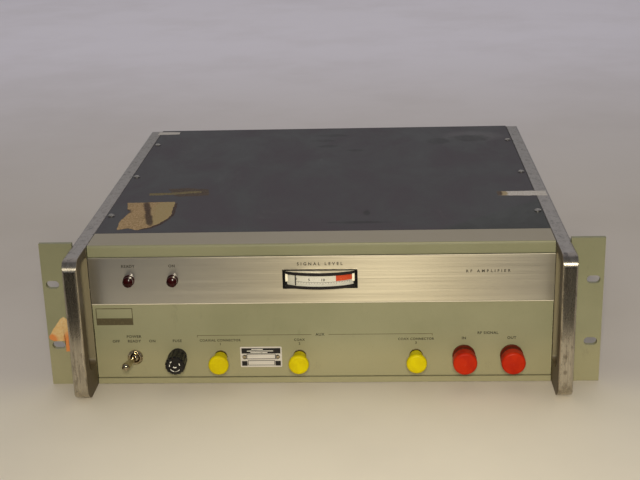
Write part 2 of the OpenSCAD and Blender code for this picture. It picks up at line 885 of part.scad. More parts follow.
module front_panel() {
    side_drop = 4;
    color([0.53, 0.5, 0.36]) difference() {
        union() {
            along_y(y_panel, y_back) translate([-x_fit, panel_low])
                square([2 * x_fit, trim_top - panel_low]);
            both_sides() box(
                [x_fit - panel_side_t, y_panel + cut, panel_low],
                [x_fit, y_panel + panel_side, trim_top - side_drop]
            );
        }
        along_y(y_panel - cut, y_back + cut) {
            front_cutouts();
            trim_cutouts();
        }
        both_sides() panel_screw_places() screw_hole(panel_screw);
    }
}

module trim_strip() {
    color([0.75, 0.72, 0.64]) difference() {
        along_x(-x_fit, x_fit) polygon([
            [y_panel, trim_low], [y_panel, trim_top],
            [y_trim + trim_bevel, trim_top], [y_trim, trim_top - trim_bevel],
            [y_trim, trim_low + trim_bevel], [y_trim + trim_bevel, trim_low]
        ]);
        along_y(y_trim - cut, y_panel + cut) trim_cutouts();
    }
}

module filler_strip() {
    lip = 3;
    end_block = 14;
    color([0.53, 0.5, 0.36]) difference() {
        box([-x_fit, y_panel - filler_lead, fit_gap], [x_fit, y_panel + filler_d, filler_h]);
        box(
            [-x_fit + end_block, y_panel + lip, 2 * fit_gap + cover_t],
            [x_fit - end_block, y_panel + filler_d + cut, filler_h + cut]
        );
        both_sides() filler_screw_place() screw_hole(filler_screw);
    }
}

module data_plate() {
    corner = 1;
    color("gainsboro") along_y(y_panel - plate_t, y_panel) difference() {
        soft_rect(
            [plate_x, plate_z], [plate_x + plate_w, plate_z + plate_h],
            [for (i = [0 : 3]) corner]
        );
        for (x = plate_pin_xs)
            translate([x, plate_z + plate_h / 2]) circle(r = plate_pin_r + hole_gap);
    }
}

module plate_pins() {
    head_r = 1.7;
    head_h = 0.9;
    color("silver") for (x = plate_pin_xs)
        turned(x, plate_z + plate_h / 2, [
            [0, -panel_t], [plate_pin_r, -panel_t], [plate_pin_r, plate_t], [head_r, plate_t],
            [head_r * 0.75, plate_t + head_h * 0.8], [0, plate_t + head_h]
        ]);
}

// Rack ears

module rack_ear() {
    ear_x = x_out + ear_w;
    difference() {
        union() {
            along_y(y_panel, y_panel + ear_t)
                translate([x_out, 0]) square([ear_w, cabinet_h + ear_rise]);
            box(
                [x_out, y_panel + cut, ear_leg_inset],
                [x_out + ear_leg_t, y_panel + ear_leg_d, cabinet_h - ear_leg_inset]
            );
        }
        for (i = [0, 1])
            along_y(y_panel - cut, y_panel + ear_t + cut)
                translate([ear_x - slot_inset, slot_z + i * slot_pitch]) obround(slot_l, slot_w);
        ear_screw_places() screw_hole(ear_screw);
    }
}

module right_rack_ear() {
    color([0.53, 0.5, 0.36]) rack_ear();
}

module left_rack_ear() {
    color([0.53, 0.5, 0.36]) mirror([1, 0, 0]) rack_ear();
}

// Fasteners

module ear_screws() {
    color("gray") both_sides() ear_screw_places() screw(ear_screw);
}

module panel_screws() {
    color("gray") both_sides() {
        panel_screw_places() screw(panel_screw);
        filler_screw_place() screw(filler_screw);
    }
}

module cover_screws() {
    color("silver") {
        top_screw_places() screw(cover_screw);
        bottom_screw_places() screw(cover_screw);
        both_sides() side_screw_places() screw(side_screw);
    }
}

module rear_screws() {
    color("silver") {
        rear_screw_places() screw(rear_screw);
        fan_corner_places() translate([0, y_rear_out + guard_foot_t, 0]) rotate([-90, 0, 0])
            screw(fan_screw);
    }
}

// Back panel and chassis

module rear_panel() {
    color([0.6, 0.6, 0.58]) difference() {
        along_y(y_rear_in, y_rear_out) difference() {
            translate([-x_fit, z_low_ledge + fit_gap])
                square([2 * x_fit, z_top_ledge - z_low_ledge - 2 * fit_gap]);
            translate([tube_x, fan_z]) circle(r = duct_r);
            translate([inlet_x, inlet_z])
                square([inlet_body.x + 2 * hole_gap, inlet_body.y + 2 * hole_gap], center = true);
        }
        rear_screw_places() screw_hole(rear_screw);
        fan_corner_places() rod_y(0, 0, y_rear_in - cut, y_rear_out + cut, fan_screw[0] + hole_gap);
    }
}

// Tray that the supply and the tube stand on: its sides are folded down onto the frames' ledges
module chassis_deck() {
    y_end = y_rear_in - lug_t - fit_gap;
    z_foot = z_low_ledge + ledge_t;
    color([0.7, 0.7, 0.68]) {
        box([-x_fit, y_panel + deck_start, deck_z - deck_t], [x_fit, y_end, deck_z]);
        both_sides() box(
            [x_fit - deck_t, y_panel + top_rail_d + 2 * fit_gap, z_foot],
            [x_fit, y_end, deck_z - deck_t / 2]
        );
    }
}

// Toggle switch

module switch_body() {
    bore_r = lever_ball_r + run_gap;
    bore_low = pivot_lead - lever_ball_r - seat_gap;
    mouth_r = bush_r - 1.3;
    lip_low = pivot_lead + 1.6;
    lip_t = 1;
    edge = 0.5;
    tag = [2.4, 9, 0.9];
    color([0.35, 0.3, 0.25]) difference() {
        union() {
            turned(switch_x, control_z, [
                [0, -panel_t - cut], [bush_r, -panel_t - cut], [bush_r, bush_lead - edge],
                [bush_r - edge, bush_lead], [0, bush_lead]
            ]);
            box(
                [switch_x - switch_w / 2, y_back, control_z - switch_h / 2],
                [switch_x + switch_w / 2, y_back + switch_d, control_z + switch_h / 2]
            );
            for (i = [-1 : 1])
                translate([switch_x + i * switch_w / 3, y_back + switch_d + tag.y / 2 - cut, control_z])
                    cube(tag, center = true);
        }
        turned(switch_x, control_z, [
            [0, bore_low], [bore_r, bore_low], [bore_r, lip_low], [mouth_r, lip_low + lip_t],
            [mouth_r, bush_lead + cut], [0, bush_lead + cut]
        ]);
    }
}

// Ring nut with a bevelled front edge
module switch_nut() {
    bore = bush_r + hole_gap / 2;
    nut_r = bore + switch_nut_wall;
    edge = 0.5;
    color("silver") turned(switch_x, control_z, [
        [bore, 0], [nut_r, 0], [nut_r, switch_nut_t - edge], [nut_r - edge, switch_nut_t],
        [bore, switch_nut_t]
    ]);
}

// Bat lever on its pivot ball, at rest thrown to the left
module toggle_lever() {
    color("silver") translate([switch_x, y_panel - pivot_lead, control_z])
        rotate([0, 0, -lever_throw / 2]) rotate([90, 0, 0]) {
            sphere(r = lever_ball_r);
            cylinder(r1 = lever_root_r, r2 = lever_tip_r, h = lever_l);
            translate([0, 0, lever_l]) sphere(r = lever_tip_r);
        }
}

// Fuse holder

module fuse_holder() {
    barrel_end = -panel_t - barrel_d;
    end_wall = 3;
    clip_r = fuse_r + hole_gap;
    edge = 0.5;
    tag = [4, 10, 0.9];
    color([0.12, 0.12, 0.12]) difference() {
        union() {
            turned(fuse_x, control_z, [
                [0, barrel_end], [barrel_r - edge, barrel_end], [barrel_r, barrel_end + edge],
                [barrel_r, 0], [collar_r, 0], [collar_r, collar_t - edge],
                [collar_r - edge, collar_t], [0, collar_t]
            ]);
            translate([fuse_x, y_back + barrel_d + tag.y / 2 - cut, control_z])
                cube(tag, center = true);
        }
        turned(fuse_x, control_z, [
            [0, barrel_end + end_wall], [clip_r, barrel_end + end_wall],
            [clip_r, -carrier_tail - cut], [carrier_bore_r, -carrier_tail - cut],
            [carrier_bore_r, collar_t + cut], [0, collar_t + cut]
        ]);
    }
}

// Sleeve that grips the front of the fuse and comes out with the cap
module fuse_carrier() {
    grip_bore = fuse_r + hole_gap / 2;
    edge = 1;
    color("goldenrod") turned(fuse_x, control_z, [
        [0, fuse_start], [grip_bore, fuse_start], [grip_bore, -carrier_tail], [carrier_r, -carrier_tail],
        [carrier_r, carrier_lead - edge], [carrier_r - edge, carrier_lead], [0, carrier_lead]
    ]);
}

module fuse_link() {
    glass_r = fuse_r - 0.25;
    end = fuse_start - fuse_l;
    color("whitesmoke") turned(fuse_x, control_z, [
        [0, fuse_start], [fuse_r, fuse_start], [fuse_r, fuse_start - fuse_end_l],
        [glass_r, fuse_start - fuse_end_l], [glass_r, end + fuse_end_l],
        [fuse_r, end + fuse_end_l], [fuse_r, end], [0, end]
    ]);
}

// Fluted cap that turns on the front of the carrier
module fuse_cap() {
    edge = 1.2;
    foot_r = collar_r - 0.2;
    flute_low = fuse_cap_foot + 3;
    color([0.1, 0.1, 0.1]) difference() {
        turned(fuse_x, control_z, [
            [0, fuse_cap_foot], [foot_r, fuse_cap_foot], [foot_r, flute_low - edge],
            [fuse_cap_r, flute_low], [fuse_cap_r, fuse_cap_lead - edge],
            [fuse_cap_r - edge, fuse_cap_lead], [0, fuse_cap_lead]
        ]);
        turned(fuse_x, control_z, [
            [0, fuse_cap_foot - cut], [carrier_bore_r, fuse_cap_foot - cut],
            [carrier_bore_r, carrier_lead + seat_gap], [0, carrier_lead + seat_gap]
        ]);
        for (i = [0 : flute_count - 1])
            translate([fuse_x, y_panel, control_z]) rotate([0, i * 360 / flute_count, 0])
                rod_y(fuse_cap_r, 0, -fuse_cap_lead - cut, -flute_low - edge / 2, flute_r);
    }
}

// Pilot lamps

module lamp_jewels() {
    dome_r = 1.6 * jewel_r;
    dome_h = dome_r - sqrt(dome_r * dome_r - jewel_r * jewel_r);
    inner_h = jewel_lead - dome_h - jewel_wall;
    foot_t = 0.8;
    color([0.45, 0.05, 0.05]) for (x = lamp_xs)
        translate([x, y_trim, lamp_z]) rotate([90, 0, 0]) difference() {
            union() {
                cylinder(r = jewel_r + jewel_foot_w, h = foot_t);
                intersection() {
                    cylinder(r = jewel_r, h = jewel_lead);
                    translate([0, 0, jewel_lead - dome_r]) sphere(r = dome_r);
                }
                cylinder(r = jewel_r, h = jewel_lead - 2 * dome_h);
            }
            translate([0, 0, -cut]) cylinder(r = jewel_bore, h = inner_h + cut);
        }
}

module lamp_holders() {
    ring_r = jewel_r + 2.85;
    ring_t = 2;
    tag = [1.6, 8, 0.8];
    seat_d = 8;
    color([0.15, 0.15, 0.15]) for (x = lamp_xs) difference() {
        union() {
            turned(x, lamp_z, [
                [0, -panel_t - holder_d], [jewel_r, -panel_t - holder_d], [jewel_r, -panel_t - ring_t],
                [ring_r, -panel_t - ring_t], [ring_r, -panel_t], [jewel_r, -panel_t],
                [jewel_r, trim_t], [0, trim_t]
            ]);
            for (s = [-1, 1])
                translate([x + s * jewel_r / 2, y_back + holder_d + tag.y / 2 - cut, lamp_z])
                    cube(tag, center = true);
        }
        turned(x, lamp_z, [
            [0, bulb_seat], [bulb_r + hole_gap, bulb_seat], [bulb_r + hole_gap, bulb_seat + seat_d],
            [jewel_bore, bulb_seat + seat_d], [jewel_bore, trim_t + cut], [0, trim_t + cut]
        ]);
    }
}

module lamp_bulbs() {
    base_end = bulb_seat + 9;
    glass_r = bulb_r - 0.4;
    glass_end = base_end + 12;
    color("wheat") for (x = lamp_xs) {
        turned(x, lamp_z, [
            [0, bulb_seat], [bulb_r, bulb_seat], [bulb_r, base_end],
            [glass_r, base_end], [glass_r, glass_end], [0, glass_end]
        ]);
        translate([x, y_panel - glass_end, lamp_z]) sphere(r = glass_r);
    }
}

// Edgewise meter

module meter_case() {
    y_end = y_panel + meter_d;
    stud_r = 2;
    stud_l = 8;
    color([0.1, 0.1, 0.1]) {
        difference() {
            union() {
                along_y(y_trim - bezel_t, y_trim) translate([0, lamp_z])
                    square([meter_w, meter_h], center = true);
                along_y(y_trim - bezel_t, y_end) translate([0, lamp_z])
                    square(case_out, center = true);
            }
            along_y(y_trim - bezel_t - cut, y_end - case_wall) translate([0, lamp_z])
                square(case_in, center = true);
        }
        for (s = [-1, 1]) {
            rod_y(s * meter_w / 4, lamp_z, y_end - case_wall / 2, y_end + stud_l, stud_r);
            translate([0, y_pivot, lamp_z]) difference() {
                mirror([0, 0, s < 0 ? 1 : 0]) translate([0, 0, case_in.y / 2 - boss_h])
                    cylinder(r = boss_r, h = boss_h + case_wall / 2);
                cylinder(r = staff_r + run_gap, h = 2 * staff_half + 2 * seat_gap, center = true);
            }
        }
    }
}

// Clear cover, bowed forward, open at the back
module meter_window() {
    y_end = y_trim + 1.5;
    color([0.85, 0.9, 0.9]) translate([0, 0, lamp_z]) difference() {
        intersection() {
            box([-glass.x / 2, y_glass - cut, -glass.y / 2], [glass.x / 2, y_end, glass.y / 2]);
            rod_z(0, y_glass + window_r, -glass.y, glass.y, window_r);
        }
        intersection() {
            box(
                [-glass_in.x, y_glass - cut, -glass_in.y],
                [glass_in.x, y_end + cut, glass_in.y]
            );
            rod_z(0, y_glass + window_r, -glass.y, glass.y, window_r - window_t);
        }
    }
}

// Cylindrical strip round the pointer's pivot, standing on the floor of the window
module meter_scale() {
    color("white") translate([0, y_pivot, lamp_z + scale_low])
        rotate([0, 0, -90 - scale_half]) rotate_extrude(angle = 2 * scale_half)
            translate([scale_r - scale_t, 0]) square([scale_t, scale_top - scale_low]);
}

// Staff, coil, counterweight and an arm that reaches over the scale, at rest on the left
module meter_pointer() {
    coil = [11, 3, 7];
    coil_wall = 1;
    back = 7;
    arm_t = 0.9;
    riser = scale_r - 4;
    flag_low = 1 - glass_in.y;
    color([0.15, 0.13, 0.12]) translate([0, y_pivot, lamp_z]) rotate([0, 0, -pointer_rest]) {
        cylinder(r = staff_r, h = 2 * staff_half, center = true);
        difference() {
            cube(coil, center = true);
            cube([coil.x - 2 * coil_wall, coil.y + cut, coil.z - 2 * coil_wall], center = true);
        }
        along_x(-pointer_w / 2, pointer_w / 2) polygon([
            [back, arm_low], [back, arm_low + arm_t], [arm_t - riser, arm_low + arm_t],
            [arm_t - riser, bridge_high], [-flag_r, bridge_high], [-flag_r, flag_low],
            [pointer_t - flag_r, flag_low], [pointer_t - flag_r, bridge_low],
            [-riser, bridge_low], [-riser, arm_low]
        ]);
    }
}

// Coaxial jacks and their dust caps

module small_jack(x) {
    bore_r = 4.05;
    bore_floor = 5.6;
    core_r = 2.35;
    core_lead = 12;
    contact_r = 0.7;
    tail_r = 1.2;
    lug_lead = small_lead - 4.6;
    lug_foot = (small_r + bore_r) / 2;
    color("gainsboro") difference() {
        union() {
            turned(x, control_z, [
                [0, -jack_tail], [tail_r, -jack_tail], [tail_r, -thread_tail],
                [small_thread_r, -thread_tail], [small_thread_r, 0], [small_flange_r, 0],
                [small_flange_r, small_flange_t], [small_r, small_flange_t], [small_r, small_lead],
                [bore_r, small_lead], [bore_r, bore_floor], [core_r, bore_floor],
                [core_r, core_lead], [0, core_lead]
            ]);
            for (s = [0, 180])
                translate([x, y_panel - lug_lead, control_z]) rotate([s, 0, 0])
                    rod_z(0, 0, lug_foot, lug_reach, lug_r);
        }
        rod_y(x, control_z, y_panel - core_lead - cut, y_panel - bore_floor, contact_r);
    }
}

// Points round the front edge of a turned cap
function rounded_edge(r, front, edge) = [
    for (a = [0 : 15 : 90]) [r - edge + edge * cos(a), front - edge + edge * sin(a)]
];

// Push-on cap: a thin skirt over the lugs and a thick round head
module small_cap(x) {
    head_low = small_cap_lead - small_head_t;
    corner = 0.5;
    color("gold") turned(x, control_z, concat(
        [
            [small_cap_bore, small_cap_foot], [small_skirt_r, small_cap_foot],
            [small_skirt_r, head_low - 2 * corner], [small_head_r - corner, head_low],
            [small_head_r, head_low + corner]
        ],
        rounded_edge(small_head_r, small_cap_lead, cap_edge_r),
        [[0, small_cap_lead], [0, small_cap_depth], [small_cap_bore, small_cap_depth]]
    ));
}

module large_jack(x) {
    bore_r = 4.25;
    bore_floor = 2;
    contact_r = 1.6;
    contact_lead = 9;
    hole_r = 0.85;
    hole_floor = bore_floor + 1;
    tail_r = 2.2;
    color("gainsboro") turned(x, control_z, [
        [0, -jack_tail], [tail_r, -jack_tail], [tail_r, -thread_tail], [large_thread_r, -thread_tail],
        [large_thread_r, 0], [large_flange_r, 0], [large_flange_r, large_flange_t],
        [large_r, large_flange_t], [large_r, large_lead], [bore_r, large_lead],
        [bore_r, bore_floor], [contact_r, bore_floor], [contact_r, contact_lead],
        [hole_r, contact_lead], [hole_r, hole_floor], [0, hole_floor]
    ]);
}

// Push-on cap with a flange at its foot, a wide groove and a wider head
module large_cap(x) {
    foot_t = 2.4;
    head_low = large_cap_foot + foot_t + groove_w;
    rim = large_cap_lead - 0.5;
    color("firebrick") turned(x, control_z, concat(
        [
            [large_cap_bore, large_cap_foot], [large_foot_r, large_cap_foot],
            [large_foot_r, large_cap_foot + foot_t], [groove_r, large_cap_foot + foot_t],
            [groove_r, head_low], [large_head_r, head_low]
        ],
        rounded_edge(large_head_r, rim, cap_edge_r),
        [[0, large_cap_lead], [0, large_cap_depth], [large_cap_bore, large_cap_depth]]
    ));
}

module small_jack_1() { small_jack(small_jack_xs[0]); }
module small_jack_2() { small_jack(small_jack_xs[1]); }
module small_jack_3() { small_jack(small_jack_xs[2]); }
module small_cap_1() { small_cap(small_jack_xs[0]); }
module small_cap_2() { small_cap(small_jack_xs[1]); }
module small_cap_3() { small_cap(small_jack_xs[2]); }
module large_jack_1() { large_jack(large_jack_xs[0]); }
module large_jack_2() { large_jack(large_jack_xs[1]); }
module large_cap_1() { large_cap(large_jack_xs[0]); }
module large_cap_2() { large_cap(large_jack_xs[1]); }

// Hexagon nut behind the panel, on a thread of that radius
module back_nut(x, thread_r) {
    translate([x, y_back, control_z]) rotate([-90, 0, 0]) difference() {
        cylinder(r = hex_r(thread_r, back_nut_wall), h = back_nut_t, $fn = 6);
        translate([0, 0, -cut]) cylinder(r = thread_r + hole_gap / 2, h = back_nut_t + 2 * cut);
    }
}

module panel_nuts() {
    color("silver") {
        back_nut(fuse_x, barrel_r);
        for (x = small_jack_xs) back_nut(x, small_thread_r);
        for (x = large_jack_xs) back_nut(x, large_thread_r);
    }
}

// Amplifier tube and its lines

// Gun at the front, a stack of magnet rings, and a finned collector in the fan's air
module amplifier_tube() {
    ring_pitch = stack_l / ring_count;
    spacer_r = stack_r - 2.5;
    core_r = 12;
    fin_t = 2;
    fin_start = 6;
    fin_pitch = (collector_l - fin_start - fin_t) / (fin_count - 1);
    y_gun = y_stack - gun_l;
    socket_r = gun_r - 4;
    socket_d = 12;
    color([0.45, 0.42, 0.4]) difference() {
        union() {
            rod_y(tube_x, tube_z, y_gun, y_stack + cut, gun_r);
            rod_y(tube_x, tube_z, y_stack, y_stack_end, spacer_r);
            for (i = [0 : 2 : ring_count - 1]) {
                y_ring = y_stack + i * ring_pitch;
                rod_y(tube_x, tube_z, y_ring, y_ring + ring_pitch, stack_r);
            }
            rod_y(tube_x, tube_z, y_stack_end - cut, y_stack_end + collector_l, core_r);
            for (i = [0 : fin_count - 1]) {
                y_fin = y_stack_end + fin_start + i * fin_pitch;
                rod_y(tube_x, tube_z, y_fin, y_fin + fin_t, fin_r);
            }
            for (y = [y_coupler_in, y_coupler_out])
                rod_z(tube_x, y, coupler_z, tube_z, coupler_r);
        }
        rod_y(tube_x, tube_z, y_gun - cut, y_gun + socket_d, socket_r);
    }
}

module tube_saddles() {
    foot_w = 8;
    foot_t = 2;
    saddle_top = tube_z - 8;
    color([0.72, 0.72, 0.7]) for (y = saddle_ys) difference() {
        union() {
            box([tube_x - saddle_w / 2, y, deck_z], [tube_x + saddle_w / 2, y + saddle_t, saddle_top]);
            box(
                [tube_x - saddle_w / 2 - foot_w, y, deck_z],
                [tube_x + saddle_w / 2 + foot_w, y + saddle_t, deck_z + foot_t]
            );
        }
        rod_y(tube_x, tube_z, y - cut, y + saddle_t + cut, stack_r + hole_gap);
    }
}

// Bent tube through points whose runs lie along X, Y or Z
module bent_line(points, r, bend) {
    last = len(points) - 1;
    for (i = [0 : last - 1]) {
        d = (points[i + 1] - points[i]) / norm(points[i + 1] - points[i]);
        from = points[i] + (i > 0 ? bend : 0) * d;
        to = points[i + 1] - (i < last - 1 ? bend : 0) * d;
        translate(from) rotate([0, acos(d.z), atan2(d.y, d.x)]) cylinder(r = r, h = norm(to - from));
        if (i < last - 1) {
            e = (points[i + 2] - points[i + 1]) / norm(points[i + 2] - points[i + 1]);
            n = cross(d, e);
            c = points[i + 1] - bend * d + bend * e;
            multmatrix([
                [-e.x, d.x, n.x, c.x],
                [-e.y, d.y, n.y, c.y],
                [-e.z, d.z, n.z, c.z],
                [0, 0, 0, 1]
            ]) rotate_extrude(angle = 90) translate([bend, 0]) circle(r = r);
        }
    }
}

module coax(x, y_coupler) {
    bent_line([
        [x, y_panel + jack_tail, control_z],
        [x, y_coupler, control_z],
        [tube_x, y_coupler, control_z],
        [tube_x, y_coupler, coupler_z]
    ], coax_r, coax_bend);
}

module input_coax() {
    color("peru") coax(large_jack_xs[0], y_coupler_in);
}

module output_coax() {
    color("peru") coax(large_jack_xs[1], y_coupler_out);
}

// Supply

module transformer_core() {
    foot_t = 3;
    foot_inset = 4;
    bolt_r = 2.2;
    bolt_x = core_w / 2 - 6;
    bolt_z = core_h / 2 - 6;
    color([0.3, 0.3, 0.32]) {
        translate([core_x, 0, core_z + core_h / 2]) difference() {
            along_y(core_y, core_y + core_d) square([core_w, core_h], center = true);
            for (i = [-1, 1], j = [-1, 1])
                rod_y(i * bolt_x, j * bolt_z, core_y - cut, core_y + core_d + cut, bolt_r);
        }
        along_y(core_y + foot_inset, core_y + core_d - foot_inset)
            translate([core_x - core_w / 2, deck_z]) difference() {
                square([core_w, core_z - deck_z + cut]);
                translate([foot_t, foot_t]) square([core_w - 2 * foot_t, core_z - deck_z - foot_t]);
            }
    }
}

// Two drawn steel bells over the windings, one at each face of the laminations
module transformer_bells() {
    step = 12;
    rim_t = 2;
    corner = 9;
    color([0.14, 0.14, 0.15]) for (back = [0, 1]) {
        y_face = core_y + back * core_d;
        y_rim = y_face + (back ? rim_t : -rim_t);
        y_dome = y_face + (back ? bell_d : -bell_d);
        along_y(min(y_face, y_rim), max(y_face, y_rim)) translate([core_x, core_z + core_h / 2])
            square([core_w, core_h], center = true);
        along_y(min(y_face, y_dome), max(y_face, y_dome))
            soft_rect(
                [core_x - core_w / 2 + step, core_z + step],
                [core_x + core_w / 2 - step, core_z + core_h - step],
                [for (i = [0 : 3]) corner]
            );
    }
}

module filter_capacitors() {
    bead_z = 3;
    bead_d = 0.8;
    edge = 1.2;
    rim_r = can_r - 3;
    top_z = can_h - 1;
    color([0.62, 0.64, 0.68]) for (x = can_xs)
        translate([x, can_y, deck_z]) rotate_extrude() polygon([
            [0, 0], [can_r, 0], [can_r, bead_z], [can_r - bead_d, bead_z + bead_d],
            [can_r, bead_z + 2 * bead_d], [can_r, can_h - edge], [can_r - edge, can_h],
            [rim_r, can_h], [rim_r, top_z], [0, top_z]
        ]);
}

module regulator_board() {
    color([0.2, 0.4, 0.25]) difference() {
        box([board_x, board_y, board_z], [board_x + board_w, board_y + board_d, board_z + board_t]);
        for (p = board_spots)
            rod_z(p.x, p.y, board_z - cut, board_z + board_t + cut, board_screw_r + hole_gap);
    }
}

// Resistors, small cans and transistors soldered to the board
module board_parts() {
    resistor_r = 2.4;
    resistor_l = 14;
    resistor_start = [26, 16];
    resistor_pitch = [16, 24];
    small_can = [8, 22];
    transistor = [4.2, 7];
    row_start = [30, 78];
    row_pitch = 34;
    color("tan") translate([board_x, board_y, board_z + board_t]) {
        for (i = [0 : 7], j = [0, 1])
            translate([
                resistor_start.x + i * resistor_pitch.x, resistor_start.y + j * resistor_pitch.y, resistor_r
            ]) rod_y(0, 0, 0, resistor_l, resistor_r);
        for (i = [0 : 3])
            rod_z(row_start.x + i * row_pitch, row_start.y, 0, small_can[1], small_can[0]);
        for (i = [0 : 2])
            rod_z(row_start.x + (i + 0.5) * row_pitch, row_start.y, 0, transistor[1], transistor[0]);
    }
}

module board_posts() {
    head_h = 1.8;
    head_r = 2.8;
    post_r = 3.6;
    color("silver") for (p = board_spots) {
        rod_z(p.x, p.y, board_z - cut, board_z + board_t + head_h, board_screw_r);
        rod_z(p.x, p.y, board_z + board_t, board_z + board_t + head_h, head_r);
        translate([p.x, p.y, deck_z]) cylinder(r = post_r, h = post_h, $fn = 6);
    }
}

// Fan

module fan_frame() {
    arm = [5, 4];
    arm_l = duct_r - motor_r + 3 * cut;
    corner_cut = 9;
    flange_t = 5;
    screw_d = 16;
    color([0.2, 0.2, 0.22]) difference() {
        union() {
            difference() {
                along_y(y_fan, y_rear_in) translate([tube_x, fan_z]) square(fan_w, center = true);
                rod_y(tube_x, fan_z, y_fan - cut, y_rear_in + cut, duct_r);
            }
            rod_y(tube_x, fan_z, y_fan, y_fan + motor_d, motor_r);
            for (a = [90, 210, 330])
                translate([tube_x, y_fan, fan_z]) rotate([0, a, 0])
                    translate([motor_r - 2 * cut, 0, -arm.x / 2]) cube([arm_l, arm.y, arm.x]);
        }
        rod_y(tube_x, fan_z, y_fan + cut, y_fan + motor_d + cut, shaft_r + run_gap);
        fan_corner_places() rod_y(0, 0, y_rear_in - screw_d, y_rear_in + cut, fan_screw[0] + hole_gap);
        for (i = [-1, 1], j = [-1, 1])
            translate([tube_x + i * fan_w / 2, 0, fan_z + j * fan_w / 2])
                box(
                    [-corner_cut, y_fan + flange_t, -corner_cut],
                    [corner_cut, y_rear_in - flange_t, corner_cut]
                );
    }
}

// Hub, shaft and pitched blades, which turn inside the duct
module fan_rotor() {
    blade_t = 1.8;
    tip_r = duct_r - 1.2;
    chord = hub_d / sin(blade_pitch);
    dish_r = hub_r - 4;
    dish_d = 2;
    color([0.12, 0.12, 0.12]) translate([tube_x, y_rotor, fan_z]) rotate([-90, 0, 0]) {
        difference() {
            cylinder(r = hub_r, h = hub_d);
            translate([0, 0, hub_d - dish_d]) cylinder(r = dish_r, h = dish_d + cut);
        }
        translate([0, 0, -shaft_d]) cylinder(r = shaft_r, h = shaft_d + cut);
        intersection() {
            cylinder(r = tip_r, h = hub_d);
            for (i = [0 : blade_count - 1])
                rotate([0, 0, i * 360 / blade_count]) translate([hub_r - 2 * cut, 0, hub_d / 2])
                    rotate([blade_pitch, 0, 0])
                        translate([0, -blade_t / 2, -chord / 2]) cube([tip_r, blade_t, chord]);
        }
    }
}

// Wire guard on the outside of the back panel
module fan_guard() {
    foot_r = 4.6;
    y_wire = y_rear_out + guard_foot_t;
    ring_step = (duct_r - wire_r) / guard_rings;
    ring_back = 1.2 * wire_r;
    spoke_l = fan_screw_pitch / sqrt(2) - foot_r + cut;
    color("silver") difference() {
        union() {
            for (i = [1 : guard_rings])
                translate([tube_x, y_wire + ring_back, fan_z]) rotate([90, 0, 0])
                    rotate_extrude() translate([i * ring_step, 0]) circle(r = wire_r);
            for (a = [45, 135])
                translate([tube_x, y_wire, fan_z]) rotate([0, a, 0])
                    rod_x(0, 0, -spoke_l, spoke_l, wire_r);
            fan_corner_places() rod_y(0, 0, y_rear_out, y_wire, foot_r);
        }
        fan_corner_places() rod_y(0, 0, y_rear_out - cut, y_wire + 2 * cut, fan_screw[0] + hole_gap);
    }
}

// Mains inlet

module mains_inlet() {
    corner = 4;
    y_end = y_inlet_floor - inlet_end_t;
    color([0.12, 0.12, 0.12]) translate([inlet_x, 0, inlet_z]) difference() {
        union() {
            along_y(y_rear_out, y_inlet)
                soft_rect(
                    [-inlet_w / 2, -inlet_h / 2], [inlet_w / 2, inlet_h / 2], [for (i = [0 : 3]) corner]
                );
            along_y(y_end, y_inlet) square(inlet_body, center = true);
        }
        along_y(y_inlet_floor, y_inlet + cut) square(inlet_mouth, center = true);
        for (p = inlet_pin_spots)
            rod_y(p.x, p.y, y_end - cut, y_inlet_floor + cut, inlet_pin_r + hole_gap / 2);
    }
}

module inlet_pins() {
    y_tag = y_inlet_floor - inlet_end_t - 6;
    y_tip = y_inlet_floor + pin_l - inlet_pin_r;
    color("goldenrod") for (p = inlet_pin_spots) translate([inlet_x + p.x, 0, inlet_z + p.y]) {
        rod_y(0, 0, y_tag, y_tip, inlet_pin_r);
        translate([0, y_tip, 0]) sphere(r = inlet_pin_r);
    }
}

left_side_frame();
right_side_frame();
top_cover();
bottom_cover();
left_side_cover();
right_side_cover();
top_rail();
front_panel();
trim_strip();
filler_strip();
left_rack_ear();
right_rack_ear();
rear_panel();
chassis_deck();
ear_screws();
panel_screws();
cover_screws();
rear_screws();
data_plate();
plate_pins();
switch_body();
switch_nut();
toggle_lever();
fuse_holder();
fuse_carrier();
fuse_link();
fuse_cap();
lamp_jewels();
lamp_holders();
lamp_bulbs();
meter_case();
meter_window();
meter_scale();
meter_pointer();
small_jack_1();
small_jack_2();
small_jack_3();
small_cap_1();
small_cap_2();
small_cap_3();
large_jack_1();
large_jack_2();
large_cap_1();
large_cap_2();
panel_nuts();
amplifier_tube();
tube_saddles();
input_coax();
output_coax();
transformer_core();
transformer_bells();
filter_capacitors();
regulator_board();
board_parts();
board_posts();
fan_frame();
fan_rotor();
fan_guard();
mains_inlet();
inlet_pins();
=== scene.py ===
"""Looks of a rack-mounted microwave amplifier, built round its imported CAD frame.

Lengths are millimetres in the CAD frame, with +Z up and the front facing -Y. The lights are placed in metres.
"""
import json
import math
import random

import bmesh
import bpy
from mathutils import Matrix, Vector


